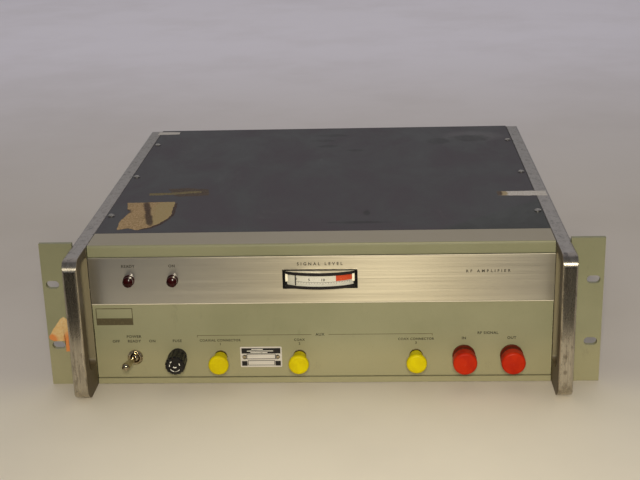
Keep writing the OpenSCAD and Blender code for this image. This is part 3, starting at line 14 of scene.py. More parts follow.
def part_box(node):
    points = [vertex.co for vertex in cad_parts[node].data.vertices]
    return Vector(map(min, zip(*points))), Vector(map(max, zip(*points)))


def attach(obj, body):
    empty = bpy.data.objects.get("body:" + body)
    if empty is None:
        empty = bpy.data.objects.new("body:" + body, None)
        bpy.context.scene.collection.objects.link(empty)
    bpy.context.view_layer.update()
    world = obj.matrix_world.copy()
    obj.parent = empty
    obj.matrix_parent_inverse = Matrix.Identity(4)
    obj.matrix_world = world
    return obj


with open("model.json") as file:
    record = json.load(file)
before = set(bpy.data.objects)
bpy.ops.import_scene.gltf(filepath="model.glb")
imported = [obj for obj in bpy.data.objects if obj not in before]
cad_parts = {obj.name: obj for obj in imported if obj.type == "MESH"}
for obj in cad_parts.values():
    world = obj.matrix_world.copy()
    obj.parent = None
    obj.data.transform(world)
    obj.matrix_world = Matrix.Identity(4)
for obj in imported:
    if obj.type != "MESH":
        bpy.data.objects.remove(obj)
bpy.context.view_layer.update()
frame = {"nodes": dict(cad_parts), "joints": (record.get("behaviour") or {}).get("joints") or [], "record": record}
NODES = frame["nodes"]
MM = 0.001

# Photograph's camera, with its angles in degrees
CAMERA_AT = (48.206, -1146.436, 468.362)
CAMERA_HEADING = -2.8165
CAMERA_DOWN = 19.1625
CAMERA_ROLL = -1.5986
CAMERA_LENS = 67.71
CAMERA_SENSOR = 36
CAMERA_NEAR = 50

# Thickness of printed ink, and how far a thin piece sinks into what carries it
INK_T = 0.04
SINK = 0.02

# Height of the printed letters, and places of the row of words and of the ruled line above it
LETTER_H = 2.4
ROW_Z = 40.8
RULE_Z = 45.7

# Span that most values of a noise lie in
NOISE_LOW = 0.3
NOISE_HIGH = 0.7

# Colour sockets of Blender's mix node
MIX_A = 6
MIX_B = 7
MIX_COLOUR = 2


def low(node):
    """Lowest corner of a CAD node, in millimetres."""
    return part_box(node)[0] / MM


def high(node):
    """Highest corner of a CAD node, in millimetres."""
    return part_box(node)[1] / MM


def middle(node):
    """Middle of a CAD node's box, in millimetres."""
    return (low(node) + high(node)) / 2


Y_PANEL = low("front_panel").y
Z_COVER = high("top_cover").z


def linear_rgb(colour):
    """Linear colour of an 8-bit sRGB one."""
    def linear(v):
        v /= 255
        return v / 12.92 if v <= 0.04045 else ((v + 0.055) / 1.055) ** 2.4
    return (*(linear(v) for v in colour), 1.0)


# Materials, with colours written as 8-bit sRGB


class Look:
    """A material in the making, with short calls that add shader nodes and link them."""

    def __init__(self, name, **sockets):
        self.material = bpy.data.materials.new(name)
        self.material.use_nodes = True
        self.tree = self.material.node_tree
        self.shader = self.tree.nodes["Principled BSDF"]
        self.place = self.add("ShaderNodeTexCoord").outputs["Object"]
        for socket, value in sockets.items():
            self.shader.inputs[socket.replace("_", " ")].default_value = value

    def add(self, kind, **settings):
        node = self.tree.nodes.new(kind)
        for name, value in settings.items():
            setattr(node, name, value)
        return node

    def feed(self, socket, value):
        """Link an output to an input, or set the input to a plain value."""
        if isinstance(value, bpy.types.NodeSocket):
            self.tree.links.new(value, socket)
        else:
            socket.default_value = value

    def use(self, socket, value):
        self.feed(self.shader.inputs[socket], value)

    def math(self, operation, a, b=0.0):
        """Result of an operation, held between 0 and 1."""
        node = self.add("ShaderNodeMath", operation=operation, use_clamp=True)
        self.feed(node.inputs[0], a)
        self.feed(node.inputs[1], b)
        return node.outputs[0]

    def times(self, first, *others):
        """Product of masks and plain shares."""
        product = first
        for other in others:
            product = self.math("MULTIPLY", product, other)
        return product

    def noise(self, scale, detail, roughness, distortion=0.0):
        """Noise from 0 to 1 with its own scale, per metre, along each axis."""
        stretch = self.add("ShaderNodeVectorMath", operation="MULTIPLY")
        self.feed(stretch.inputs[0], self.place)
        stretch.inputs[1].default_value = scale if hasattr(scale, "__len__") else (scale,) * 3
        node = self.add("ShaderNodeTexNoise")
        self.feed(node.inputs["Vector"], stretch.outputs[0])
        node.inputs["Scale"].default_value = 1.0
        node.inputs["Detail"].default_value = detail
        node.inputs["Roughness"].default_value = roughness
        node.inputs["Distortion"].default_value = distortion
        return node.outputs[0]

    def range(self, value, from_low, from_high, to_low=0.0, to_high=1.0):
        """Soft step from one value to another while the input crosses a span."""
        node = self.add("ShaderNodeMapRange", clamp=True, interpolation_type="SMOOTHSTEP")
        for socket, number in zip(node.inputs, (value, from_low, from_high, to_low, to_high)):
            self.feed(socket, number)
        return node.outputs[0]

    def spread(self, noise, to_low=0.0, to_high=1.0):
        """Spread the usual values of a noise over a span."""
        return self.range(noise, NOISE_LOW, NOISE_HIGH, to_low, to_high)

    def after(self, place, edge, soft):
        """Mask that is 1 past an edge, soft on both sides of it."""
        return self.range(place, (edge - soft) * MM, (edge + soft) * MM)

    def before(self, place, edge, soft):
        """Mask that is 1 up to an edge, soft on both sides of it."""
        return self.range(place, (edge - soft) * MM, (edge + soft) * MM, 1.0, 0.0)

    def mix(self, factor, a, b):
        """Blend of two outputs or colours."""
        node = self.add("ShaderNodeMix", data_type="RGBA")
        self.feed(node.inputs[0], factor)
        for socket, tone in ((MIX_A, a), (MIX_B, b)):
            self.feed(node.inputs[socket], linear_rgb(tone) if isinstance(tone, tuple) else tone)
        return node.outputs[MIX_COLOUR]

    def axis(self, name):
        """Place along X, Y or Z, which the shader gives in metres."""
        node = self.add("ShaderNodeSeparateXYZ")
        self.feed(node.inputs[0], self.place)
        return node.outputs[name]

    def spot(self, centre, reach, ragged, turn=0.0):
        """Soft ragged patch: 1 in the middle, 0 past its reach, turned about Z by degrees."""
        node = self.add("ShaderNodeMapping", vector_type="TEXTURE")
        self.feed(node.inputs["Vector"], self.place)
        node.inputs["Location"].default_value = Vector(centre) * MM
        node.inputs["Rotation"].default_value = (0, 0, math.radians(turn))
        node.inputs["Scale"].default_value = Vector(reach) * MM
        length = self.add("ShaderNodeVectorMath", operation="LENGTH")
        self.feed(length.inputs[0], node.outputs[0])
        edge = self.add("ShaderNodeMath", operation="MULTIPLY_ADD")
        self.feed(edge.inputs[0], self.noise(120, 6.0, 0.7))
        edge.inputs[1].default_value = 2 * ragged
        self.feed(edge.inputs[2], length.outputs["Value"])
        return self.range(edge.outputs[0], 0.5 + ragged, 1.0 + ragged, 1.0, 0.0)

    def beyond(self, start, end, soft):
        """Soft mask: 1 to the right of a line seen from above, 0 to its left."""
        along = (Vector(end) - Vector(start)).normalized()
        normal = Vector((along.y, -along.x, 0))
        node = self.add("ShaderNodeVectorMath", operation="DOT_PRODUCT")
        self.feed(node.inputs[0], self.place)
        node.inputs[1].default_value = normal
        return self.after(node.outputs["Value"], Vector((*start, 0)).dot(normal), soft)

    def bump(self, height, depth, strength):
        """Relief of that depth."""
        node = self.add("ShaderNodeBump")
        self.feed(node.inputs["Height"], height)
        node.inputs["Distance"].default_value = depth * MM
        node.inputs["Strength"].default_value = strength
        self.use("Normal", node.outputs[0])

    def brushed(self, axis):
        """Draw the highlight out across brushing lines that run round an axis."""
        tangent = self.add("ShaderNodeTangent", direction_type="RADIAL", axis=axis)
        self.use("Tangent", tangent.outputs[0])
        quarter_turn = 0.25
        self.use("Anisotropic Rotation", quarter_turn)


def frame_masks(look):
    """Masks of the side frames: painted shade inside the grip loops, painted posts beside the panel, and dull top
    faces that also carry painted shade.
    """
    side, y, z = look.math("ABSOLUTE", look.axis("X")), look.axis("Y"), look.axis("Z")
    corner = high("right_side_frame")
    x_inside, x_outside = high("top_rail").x + 0.8, corner.x - 0.7
    y_inside_end = Y_PANEL - 3.4
    y_gap_front, y_gap_back, z_gap_top = Y_PANEL - 26.6, Y_PANEL - 2.6, corner.z - 6
    y_post_front, y_post_back, z_post_top = Y_PANEL - 2.95, Y_PANEL - 1.95, corner.z - 7
    z_tops = corner.z - 3
    fine = 0.2
    in_from_sides = look.before(side, x_outside, fine)
    # Painted shade: the inner faces and finger gaps of the grip loops
    inner_face = look.times(look.before(side, x_inside, fine), look.before(y, y_inside_end, fine))
    gap = look.times(look.after(y, y_gap_front, fine), look.before(y, y_gap_back, fine),
                     in_from_sides, look.before(z, z_gap_top, 0.5))
    posts = look.times(look.after(y, y_post_front, 0.25), look.before(y, y_post_back, 0.25),
                       in_from_sides, look.before(z, z_post_top, 0.5))
    # Top faces: dirt, and darker as painted shade
    tops_dirt_and_shade = look.after(z, z_tops, 1.5)
    return look.math("MAXIMUM", inner_face, gap), posts, tops_dirt_and_shade


def frame_metal():
    """Cast aluminium, brushed along the rails and up the bars, stained and showing wear, with painted shade inside
    the grip loops and top faces painted darker, partly dirt and partly shade.
    """
    look = Look("frame_metal", Anisotropic=0.8)
    grip_shade, posts, tops_dirt_and_shade = frame_masks(look)
    y_bar_back = Y_PANEL - 22
    on_bar = look.before(look.axis("Y"), y_bar_back, 3)
    along = look.noise((1500, 12, 1500), 3.0, 0.7)
    up = look.noise((1500, 1500, 12), 3.0, 0.7)
    grain = look.mix(on_bar, along, up)
    stain = look.range(look.noise((210, 120, 60), 7.0, 0.78, 0.5), 0.47, 0.64)
    tone = look.mix(look.spread(grain), (178, 170, 156), (200, 192, 176))
    tone = look.mix(look.times(stain, 0.5), tone, (96, 86, 72))
    worn_x, worn_y, worn_reach = 205.5, low("right_side_frame").y, (2.2, 9, 2.6)
    for worn_z in (40.6, 26.2):
        tone_patch = look.spot((worn_x, worn_y, worn_z), worn_reach, 0.4)
        tone = look.mix(look.times(tone_patch, 0.5), tone, (92, 82, 66))
    # Top faces painted darker and greyer, partly dirt and partly painted shade; dark specks of dirt below
    tone = look.mix(look.times(tops_dirt_and_shade, 0.8), tone, (127, 120, 116))
    speck = look.range(look.noise((260, 160, 20), 6.0, 0.75, 0.6), 0.54, 0.65, 0.0, 0.85)
    tone = look.mix(look.times(tops_dirt_and_shade, speck), tone, (84, 80, 78))
    # Painted shade inside the grip loops, brown and not metallic
    tone = look.mix(grip_shade, tone, (84, 72, 50))
    look.use("Base Color", look.mix(posts, tone, (120, 111, 86)))
    dull = look.math("ADD", posts, grip_shade)
    look.use("Metallic", look.math("SUBTRACT", 1.0, dull))
    gloss = look.math("ADD", look.times(grain, 0.6), look.times(stain, 0.3))
    rough = look.math("ADD", look.range(gloss, 0.2, 0.7, 0.24, 0.34), look.times(dull, 0.35))
    look.use("Roughness", look.math("ADD", rough, look.times(tops_dirt_and_shade, 0.12)))
    look.bump(grain, depth=0.004, strength=0.22)
    look.brushed("X")
    return look.material


def trim_metal():
    """Aluminium strip brushed from end to end under clear lacquer, painted paler and cooler towards its ends as a
    painted reflection of the room.
    """
    look = Look("trim_metal", Metallic=1.0, Anisotropic=0.81)
    x = look.axis("X")
    lines = look.noise((4, 40, 2600), 4.0, 0.7)
    broad = look.noise((6, 30, 330), 3.0, 0.6)
    grain = look.math("ADD", look.times(lines, 0.7), look.times(broad, 0.3))
    tone = look.mix(look.spread(grain), (178, 169, 148), (196, 187, 164))
    # Painted reflection: the strip paler and cooler towards its ends
    to_the_left = look.before(x, -100, 100)
    to_the_right = look.after(x, 150, 50)
    end_sheen = look.math("ADD", to_the_left, look.times(to_the_right, 0.35))
    look.use("Base Color", look.mix(end_sheen, tone, (229, 225, 215)))
    look.use("Roughness", look.spread(grain, 0.29, 0.36))
    look.bump(grain, depth=0.004, strength=0.5)
    look.brushed("Z")
    return look.material


def panel_paint():
    """Satin green-grey enamel with a fine orange peel, painted paler low down as light bounced from the bench,
    with a painted sheen on the rail's top and a painted highlight along its front edge.
    """
    look = Look("panel_paint", Specular_IOR_Level=0.25)
    x, y, z = (look.axis(name) for name in "XYZ")
    rail = high("top_rail")
    cloud = look.noise(9, 5.0, 0.6)
    fleck = look.noise(900, 3.0, 0.7)
    tone = look.mix(look.spread(cloud), (131, 130, 101), (142, 140, 111))
    # Painted light: paler low down, as light bounced up from the bench
    bench_bounce_light = look.before(z, 37.5, 17.5)
    tone = look.mix(look.times(bench_bounce_light, 0.7), tone, (156, 149, 115))
    high_up = look.after(z, 102.5, 22.5)
    tone = look.mix(look.times(high_up, 0.5), tone, (122, 122, 95))
    tone = look.mix(look.range(fleck, 0.62, 0.74, 0.0, 0.35), tone, (99, 97, 72))
    # Dirt in darker patches
    darkening = look.range(look.noise((60, 60, 24), 6.0, 0.75), 0.58, 0.72, 0.0, 0.3)
    tone = look.mix(darkening, tone, (106, 103, 80))
    on_rail = look.before(look.math("ABSOLUTE", x), rail.x + 0.75, 0.25)
    # Painted sheen: the rail's top face paler and greyer
    rail_top_sheen = look.times(on_rail, look.after(z, rail.z - 0.06, 0.04), 0.85)
    tone = look.mix(rail_top_sheen, tone, (150, 140, 124))
    # Painted highlight along the rail's front edge, stronger to the right
    edge_w, fine = 0.7, 0.2
    edge = look.times(look.after(z, rail.z - edge_w, fine), look.before(y, low("top_rail").y + edge_w, fine))
    more_to_the_right = look.range(x, -30 * MM, 10 * MM, 0.2, 0.9)
    tone_patch = look.times(edge, more_to_the_right, on_rail)
    look.use("Base Color", look.mix(tone_patch, tone, (226, 216, 178)))
    look.use("Roughness", look.spread(cloud, 0.42, 0.54))
    look.bump(look.noise(1500, 2.0, 0.5), depth=0.015, strength=0.5)
    return look.material


# Scuffs on the cover: middle, reach, turn in degrees
COVER_SCUFFS = (
    ((119, 156), (17, 17), 8),
    ((153, 166), (27, 19), -3),
    ((0, 188), (24, 7), 0),
    ((-9, 165), (16, 7), 0),
    ((-3, 140), (16, 7), 0),
    ((27, 121), (12, 6), 0),
    ((40, -100), (4, 11), 0),
    ((32, -127), (34, 4), 0),
)


def cover_paint():
    """Charcoal vinyl paint: leathery grain, cloudy fading, a dull front corner and rubbed scuffs."""
    look = Look("cover_paint", Specular_IOR_Level=0.22)
    spot_h = 30
    cloud = look.noise((16, 9, 16), 6.0, 0.65, 0.4)
    tone = look.mix(look.range(cloud, 0.34, 0.66), (48, 47, 49), (63, 55, 61))
    dust = look.range(look.noise((30, 12, 30), 7.0, 0.72, 0.8), 0.58, 0.8, 0.0, 0.3)
    tone = look.mix(dust, tone, (92, 87, 88))
    rubbed = look.range(look.noise((34, 90, 34), 6.0, 0.75, 0.6), 0.6, 0.74, 0.0, 0.4)
    tone = look.mix(rubbed, tone, (44, 43, 44))
    dull_corner = look.beyond((116, -140), (203, -62), 5)
    tone = look.mix(look.times(dull_corner, 0.9), tone, (46, 48, 46))
    halo = look.spot((158, 176, Z_COVER), (42, 30, spot_h), 0.3, -6)
    tone = look.mix(look.times(halo, 0.35), tone, (100, 95, 96))
    for centre, reach, turn in COVER_SCUFFS:
        scuff = look.spot((*centre, Z_COVER), (*reach, spot_h), 0.5, turn)
        tone = look.mix(look.times(scuff, 0.9), tone, (34, 32, 33))
    look.use("Base Color", tone)
    look.use("Roughness", look.spread(cloud, 0.45, 0.6))
    look.bump(look.noise(1100, 4.0, 0.6), depth=0.04, strength=0.6)
    return look.material


def sheet_metal(name, dark, light, metallic, rough, grain):
    """Plain mill or plated finish with drawn streaks and dull patches."""
    look = Look(name, Metallic=metallic)
    streak = look.noise(grain, 4.0, 0.65)
    patch = look.noise(40, 6.0, 0.7)
    tone = look.mix(look.spread(streak), dark, light)
    look.use("Base Color", look.mix(look.range(patch, 0.58, 0.75, 0.0, 0.4), tone, dark))
    look.use("Roughness", look.spread(patch, *rough))
    look.bump(streak, depth=0.01, strength=0.5)
    return look.material


def moulded(name, body, shade, rough, shine, shadowed_behind=None):
    """Moulded plastic: a faint flow pattern and handling scratches, with painted shade behind a given Y."""
    look = Look(name, Specular_IOR_Level=shine)
    flow = look.noise(60, 5.0, 0.6, 0.8)
    scratch = look.noise((160, 2200, 160), 3.0, 0.7, 0.3)
    tone = look.mix(look.range(flow, 0.35, 0.7), body, shade)
    tone = look.mix(look.range(scratch, 0.66, 0.78, 0.0, 0.5), tone, shade)
    # Painted shade behind a given Y
    if shadowed_behind:
        edge, darkening = shadowed_behind
        tone = look.mix(look.after(look.axis("Y"), edge, 0.2), tone, darkening)
    look.use("Base Color", tone)
    look.use("Roughness", look.spread(flow, *rough))
    look.bump(look.noise(1800, 3.0, 0.6), depth=0.012, strength=0.6)
    return look.material


def clear(name, tint):
    """Thin clear plastic or glass: a veil of hairline scratches over what lies behind."""
    look = Look(name, Base_Color=linear_rgb(tint), Specular_IOR_Level=0.8)
    hair = look.noise((400, 40, 2600), 3.0, 0.7, 0.5)
    look.use("Roughness", look.range(hair, 0.6, 0.8, 0.03, 0.15))
    look.use("Alpha", look.range(hair, 0.6, 0.8, 0.04, 0.14))
    return look.material


def paper_look(name, body, stain, spots=()):
    """Old paper or tape: fibres, yellowing, and stains given by place, reach, turn and colour."""
    look = Look(name, Specular_IOR_Level=0.25)
    fibre = look.noise((700, 260, 700), 5.0, 0.7)
    blotch = look.noise((55, 40, 55), 6.0, 0.7, 0.5)
    tone = look.mix(look.range(fibre, 0.3, 0.72), body, stain)
    tone = look.mix(look.range(blotch, 0.5, 0.7, 0.0, 0.7), tone, stain)
    for centre, reach, turn, colour in spots:
        tone = look.mix(look.times(look.spot(centre, reach, 0.4, turn), 0.9), tone, colour)
    look.use("Base Color", tone)
    look.use("Roughness", look.spread(fibre, 0.6, 0.85))
    look.bump(fibre, depth=0.06, strength=0.8)
    return look.material


def ink_look(name, body, faded):
    """Silk-screened ink, worn thin in places."""
    look = Look(name, Specular_IOR_Level=0.3)
    wear = look.noise(500, 5.0, 0.7)
    look.use("Base Color", look.mix(look.range(wear, 0.5, 0.72), body, faded))
    look.use("Roughness", look.spread(wear, 0.45, 0.65))
    return look.material


def edge_look():
    """Painted highlights on the edges of the trim strip, dimmer on the left half of the upper one."""
    look = Look("trim_edge_highlight", Specular_IOR_Level=0.3)
    wear = look.noise((40, 500, 500), 5.0, 0.7)
    tone = look.mix(look.range(wear, 0.5, 0.72), (226, 217, 196), (200, 191, 168))
    upper = look.after(look.axis("Z"), middle("trim_strip").z, 1)
    left = look.before(look.axis("X"), -90, 50)
    look.use("Base Color", look.mix(look.times(upper, left), tone, (142, 134, 120)))
    look.use("Roughness", look.spread(wear, 0.45, 0.65))
    return look.material


# Sheet metals by slot: darker and lighter tone, metallic share, roughness, grain per metre
SHEET_METALS = {
    "bare_sheet": ((164, 161, 147), (186, 183, 169), 1.0, (0.38, 0.55), (30, 900, 900)),
    "screw_steel": ((116, 112, 108), (176, 172, 166), 1.0, (0.28, 0.44), 700),
    "bright_nickel": ((152, 138, 110), (206, 194, 168), 1.0, (0.06, 0.15), 300),
    "plate_metal": ((190, 184, 174), (216, 210, 202), 0.25, (0.35, 0.5), (30, 600, 1600)),
    "pointer_dark": ((22, 20, 20), (40, 37, 35), 0.2, (0.4, 0.55), 500),
    "brass_metal": ((176, 138, 70), (214, 178, 104), 1.0, (0.22, 0.38), 500),
    "copper_line": ((166, 100, 66), (206, 140, 100), 1.0, (0.25, 0.42), 400),
    "core_steel": ((62, 56, 54), (92, 84, 80), 0.7, (0.4, 0.6), (40, 1800, 40)),
    "black_enamel": ((20, 20, 22), (36, 35, 37), 0.0, (0.25, 0.42), 300),
    "can_metal": ((168, 169, 173), (208, 208, 210), 1.0, (0.25, 0.4), (700, 700, 20)),
    "magnet_grey": ((116, 112, 106), (140, 135, 128), 0.3, (0.4, 0.55), 300),
    "fan_grey": ((54, 54, 57), (74, 74, 77), 0.1, (0.42, 0.6), 600),
}

# Painted shade on the inner ends of the red caps: where it starts, and its tone
CAP_SHADOW = (Y_PANEL - 11.5, (94, 30, 12))

# Moulded plastics by slot: body, shade, roughness, shine, and painted shade behind the head where there is any
PLASTICS = {
    "black_plastic": ((13, 12, 11), (30, 27, 24), (0.22, 0.38), 0.3),
    "yellow_plastic": ((208, 192, 0), (192, 172, 0), (0.4, 0.55), 0.12),
    "red_plastic": ((180, 39, 3), (164, 29, 2), (0.4, 0.55), 0.15, CAP_SHADOW),
    "lamp_red": ((48, 4, 4), (30, 2, 2), (0.16, 0.26), 0.24),
    "scale_white": ((228, 225, 212), (220, 216, 198), (0.5, 0.65), 0.2),
    "board_green": ((52, 96, 58), (38, 76, 46), (0.35, 0.5), 0.35),
    "parts_tan": ((172, 140, 100), (132, 96, 62), (0.4, 0.55), 0.35),
}

SLOT_LOOKS = {
    "frame_metal": frame_metal(),
    "trim_metal": trim_metal(),
    "panel_paint": panel_paint(),
    "cover_paint": cover_paint(),
    "clear_plastic": clear("clear_plastic", (96, 98, 94)),
    "bulb_glass": clear("bulb_glass", (120, 112, 96)),
}
SLOT_LOOKS.update({name: sheet_metal(name, *values) for name, values in SHEET_METALS.items()})
SLOT_LOOKS.update({name: moulded(name, *values) for name, values in PLASTICS.items()})

# Looks of the added pieces
PRINT_INK = ink_look("print_ink", (44, 40, 30), (74, 68, 50))
BADGE_INK = ink_look("badge_ink", (78, 70, 48), (106, 97, 68))
BLACK_INK = ink_look("black_ink", (24, 21, 20), (48, 43, 40))
RED_INK = ink_look("red_ink", (214, 72, 28), (226, 110, 60))
WHITE_INK = ink_look("white_ink", (226, 222, 210), (170, 165, 152))
# Frosted plastic, painted bright as a highlight
FROSTED_SHEEN = moulded("frosted_sheen_edge", (250, 243, 218), (236, 224, 192), (0.35, 0.5), 0.5)
# Painted highlights along the trim's edges
EDGE_HIGHLIGHT = edge_look()


def dress_cad_nodes():
    """Give each CAD node the look of its slot in the record."""
    for part in frame["record"]["subparts"]:
        materials = NODES[part["node"]].data.materials
        materials.clear()
        materials.append(SLOT_LOOKS[part["material_slot"]])


# Building of the added pieces


def finish_piece(name, mesh, material, body):
    """Turn a mesh in the making into a piece that rides on a body."""
    data = bpy.data.meshes.new(name)
    mesh.to_mesh(data)
    mesh.free()
    data.materials.append(material)
    data.shade_flat()
    piece = bpy.data.objects.new(name, data)
    bpy.context.scene.collection.objects.link(piece)
    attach(piece, body)
    return piece


def facing_front(y_face):
    """Surface that faces the front at a given Y."""
    return lambda x, z, t: (x, y_face - t, z)


def on_cover(x, y, t):
    """Surface of the cover's top."""
    return (x, y, Z_COVER + t)


def prism(mesh, outline, surface, thickness):
    """Closed slab on an outline, standing on a surface given as a function of two places and a height."""
    low_ring = [mesh.verts.new(Vector(surface(u, v, 0)) * MM) for u, v in outline]
    high_ring = [mesh.verts.new(Vector(surface(u, v, thickness)) * MM) for u, v in outline]
    caps = [mesh.faces.new(low_ring), mesh.faces.new(high_ring)]
    count = len(outline)
    for i in range(count):
        j = (i + 1) % count
        mesh.faces.new((low_ring[i], low_ring[j], high_ring[j], high_ring[i]))
    bmesh.ops.triangulate(mesh, faces=caps)
    bmesh.ops.recalc_face_normals(mesh, faces=mesh.faces)


class Print:
    """Flat printed shapes gathered in one mesh, then laid on a surface."""

    def __init__(self):
        self.mesh = bmesh.new()

    def strip(self, stations):
        """Closed strip of ink through stations, each of them two points across it."""
        rows = []
        for station in stations:
            rows.append([self.mesh.verts.new((*point, t)) for point in station for t in (0, INK_T)])
        for a, b in zip(rows, rows[1:]):
            for i, j in ((0, 1), (1, 3), (3, 2), (2, 0)):
                self.mesh.faces.new((a[i], a[j], b[j], b[i]))
        first, last = rows[0], rows[-1]
        self.mesh.faces.new((first[0], first[2], first[3], first[1]))
        self.mesh.faces.new((last[1], last[3], last[2], last[0]))

    def bar(self, x0, x1, z0, z1, steps=1):
        """Rectangle of ink, in steps along X where it has to follow a curve."""
        places = [x0 + (x1 - x0) * i / steps for i in range(steps + 1)]
        self.strip([((x, z0), (x, z1)) for x in places])

    def box(self, x0, x1, z0, z1, line):
        """Outline of a rectangle."""
        self.bar(x0, x1, z1 - line, z1)
        self.bar(x0, x1, z0, z0 + line)
        self.bar(x0, x0 + line, z0 + line, z1 - line)
        self.bar(x1 - line, x1, z0 + line, z1 - line)

    def arc(self, x, z, radius, line, start, end, steps=10):
        """Part of a ring, by its angles in degrees."""
        radii = (radius - line / 2, radius + line / 2)
        angles = [math.radians(start + (end - start) * i / steps) for i in range(steps + 1)]
        self.strip([[(x + r * math.cos(a), z + r * math.sin(a)) for r in radii] for a in angles])

    def words(self, text, x, z, height, spacing=1.12):
        """Letters of that height, centred on a point."""
        cap_share = 0.69
        boldness = 0.035
        curve = bpy.data.curves.new("letters", "FONT")
        curve.body = text
        curve.size = height / cap_share
        curve.align_x = "CENTER"
        curve.align_y = "CENTER"
        curve.resolution_u = 3
        curve.space_character = spacing
        curve.offset = boldness * height
        curve.extrude = INK_T / 2
        holder = bpy.data.objects.new("letters", curve)
        bpy.context.scene.collection.objects.link(holder)
        evaluated = holder.evaluated_get(bpy.context.evaluated_depsgraph_get())
        letters = bpy.data.meshes.new_from_object(evaluated)
        letters.transform(Matrix.Translation((x, z, INK_T / 2)))
        self.mesh.from_mesh(letters)
        bpy.data.objects.remove(holder)
        bpy.data.curves.remove(curve)
        bpy.data.meshes.remove(letters)

    def lay(self, name, surface, material, body):
        """Lay the shapes on a surface, given as a function of X, Z and height, and ride on a body."""
        for v in self.mesh.verts:
            v.co = Vector(surface(v.co.x, v.co.y, v.co.z - SINK)) * MM
        bmesh.ops.recalc_face_normals(self.mesh, faces=self.mesh.faces)
        return finish_piece(name, self.mesh, material, body)


# Printed marks


def panel_legends():
    """Short generic words above the controls."""
    switch_x, fuse_x = middle("switch_nut").x, middle("fuse_cap").x
    in_x, out_x = middle("large_cap_1").x, middle("large_cap_2").x
    throw_x = 16
    aux_x = -1.5
    legends = Print()
    for text, x, z in (
        ("OFF", switch_x - throw_x, ROW_Z),
        ("ON", switch_x + throw_x, ROW_Z),
        ("READY", switch_x, ROW_Z),
        ("POWER", switch_x, ROW_Z + 4.4),
        ("FUSE", fuse_x, ROW_Z),
        ("IN", in_x, ROW_Z + 0.6),
        ("OUT", out_x, ROW_Z + 0.6),
        ("RF SIGNAL", (in_x + out_x) / 2, ROW_Z + 5.4),
        ("AUX", aux_x, RULE_Z + 0.2),
    ):
        legends.words(text, x, z, LETTER_H)
    for i, text in ((1, "COAXIAL CONNECTOR"), (2, "COAX"), (3, "COAX CONNECTOR")):
        x = middle(f"small_cap_{i}").x
        legends.words(text, x, ROW_Z + 0.2, LETTER_H - 0.3)
        legends.words(str(i), x, ROW_Z - 3.4, LETTER_H - 0.2)
    legends.lay("panel_legends", facing_front(Y_PANEL), PRINT_INK, "cabinet")


def badge_and_brackets():
    """Bare outlined badge with a plain band, and the ruled brackets over the small jacks."""
    rule_w, foot_h = 0.45, 1.6
    badge_line, band_h = 0.7, 5.8
    x0, x1, z0, z1 = -197, -164.7, 56.4, 72.3
    marks = Print()
    for start, end, foot in ((-109.4, -9, -109.4), (6, 96.3, 95.9)):
        marks.bar(start, end, RULE_Z, RULE_Z + rule_w)
        marks.bar(foot, foot + rule_w, RULE_Z - foot_h, RULE_Z)
    marks.box(x0, x1, z0, z1, badge_line)
    band_z = z0 + badge_line
    marks.bar(x0 + badge_line, x1 - badge_line, band_z, band_z + band_h)
    marks.lay("blank_badge_and_brackets", facing_front(Y_PANEL), BADGE_INK, "cabinet")


def trim_marks():
    """Words on the bright trim, and painted highlights along its edges."""
    lo, hi = low("trim_strip"), high("trim_strip")
    lamp_z = middle("lamp_jewels").z
    name_x = 143.2
    legends = Print()
    legends.words("READY", middle("switch_nut").x, lamp_z + 12.8, LETTER_H)
    legends.words("ON", middle("fuse_cap").x, lamp_z + 12.8, LETTER_H)
    legends.words("SIGNAL LEVEL", 0, lamp_z + 13.4, LETTER_H + 0.2, spacing=1.75)
    legends.words("RF AMPLIFIER", name_x, lamp_z + 5.4, LETTER_H, spacing=1.9)
    legends.lay("trim_legends", facing_front(lo.y), PRINT_INK, "cabinet")
    edge_w = 0.55
    edges = Print()
    edges.bar(lo.x, hi.x, hi.z - edge_w, hi.z)
    edges.bar(lo.x, hi.x, lo.z, lo.z + edge_w)
    edges.lay("trim_edge_highlights", facing_front(lo.y), EDGE_HIGHLIGHT, "cabinet")


def plate_fields():
    """Black fields of the data plate, round two bare strips, with pale bars in the upper field."""
    lo, hi = low("data_plate"), high("data_plate")
    edge, line, gap = 1.2, 0.5, 0.4
    head_h, foot_w, foot_h = 5.2, 5.2, 4.6
    pin_in, ring_r = 3.9, 1.9
    lower_top, upper_z, upper_wider = 5.2, 6.4, 0.9
    x0, x1, z0, z1 = lo.x + edge, hi.x - edge, lo.z + edge, hi.z - edge
    strip_x0, strip_x1 = x0 + foot_w, x1 - foot_w
    fields = Print()
    fields.bar(x0, x1, z1 - head_h, z1)
    for left, right in ((x0, strip_x0 - gap), (strip_x1 + gap, x1)):
        fields.bar(left, right, z0, z0 + foot_h)
    fields.box(strip_x0 - upper_wider, strip_x1 + upper_wider, z0 + upper_z, z1 - head_h - gap, line)
    fields.box(strip_x0, strip_x1, z0 + gap, z0 + lower_top, line)
    for x in (lo.x + pin_in, hi.x - pin_in):
        fields.arc(x, middle("plate_pins").z, ring_r, line, 0, 350, steps=24)
    fields.lay("plate_fields", facing_front(lo.y), BLACK_INK, "cabinet")
    bar_h = 0.7
    bars = Print()
    for start, end, down in ((10, 20, 1.5), (6, 29, 3.1), (9, 24, 4.6)):
        bars.bar(lo.x + start, lo.x + end, z1 - down, z1 - down + bar_h)
    bars.lay("plate_bars", facing_front(lo.y - INK_T / 2), WHITE_INK, "cabinet")


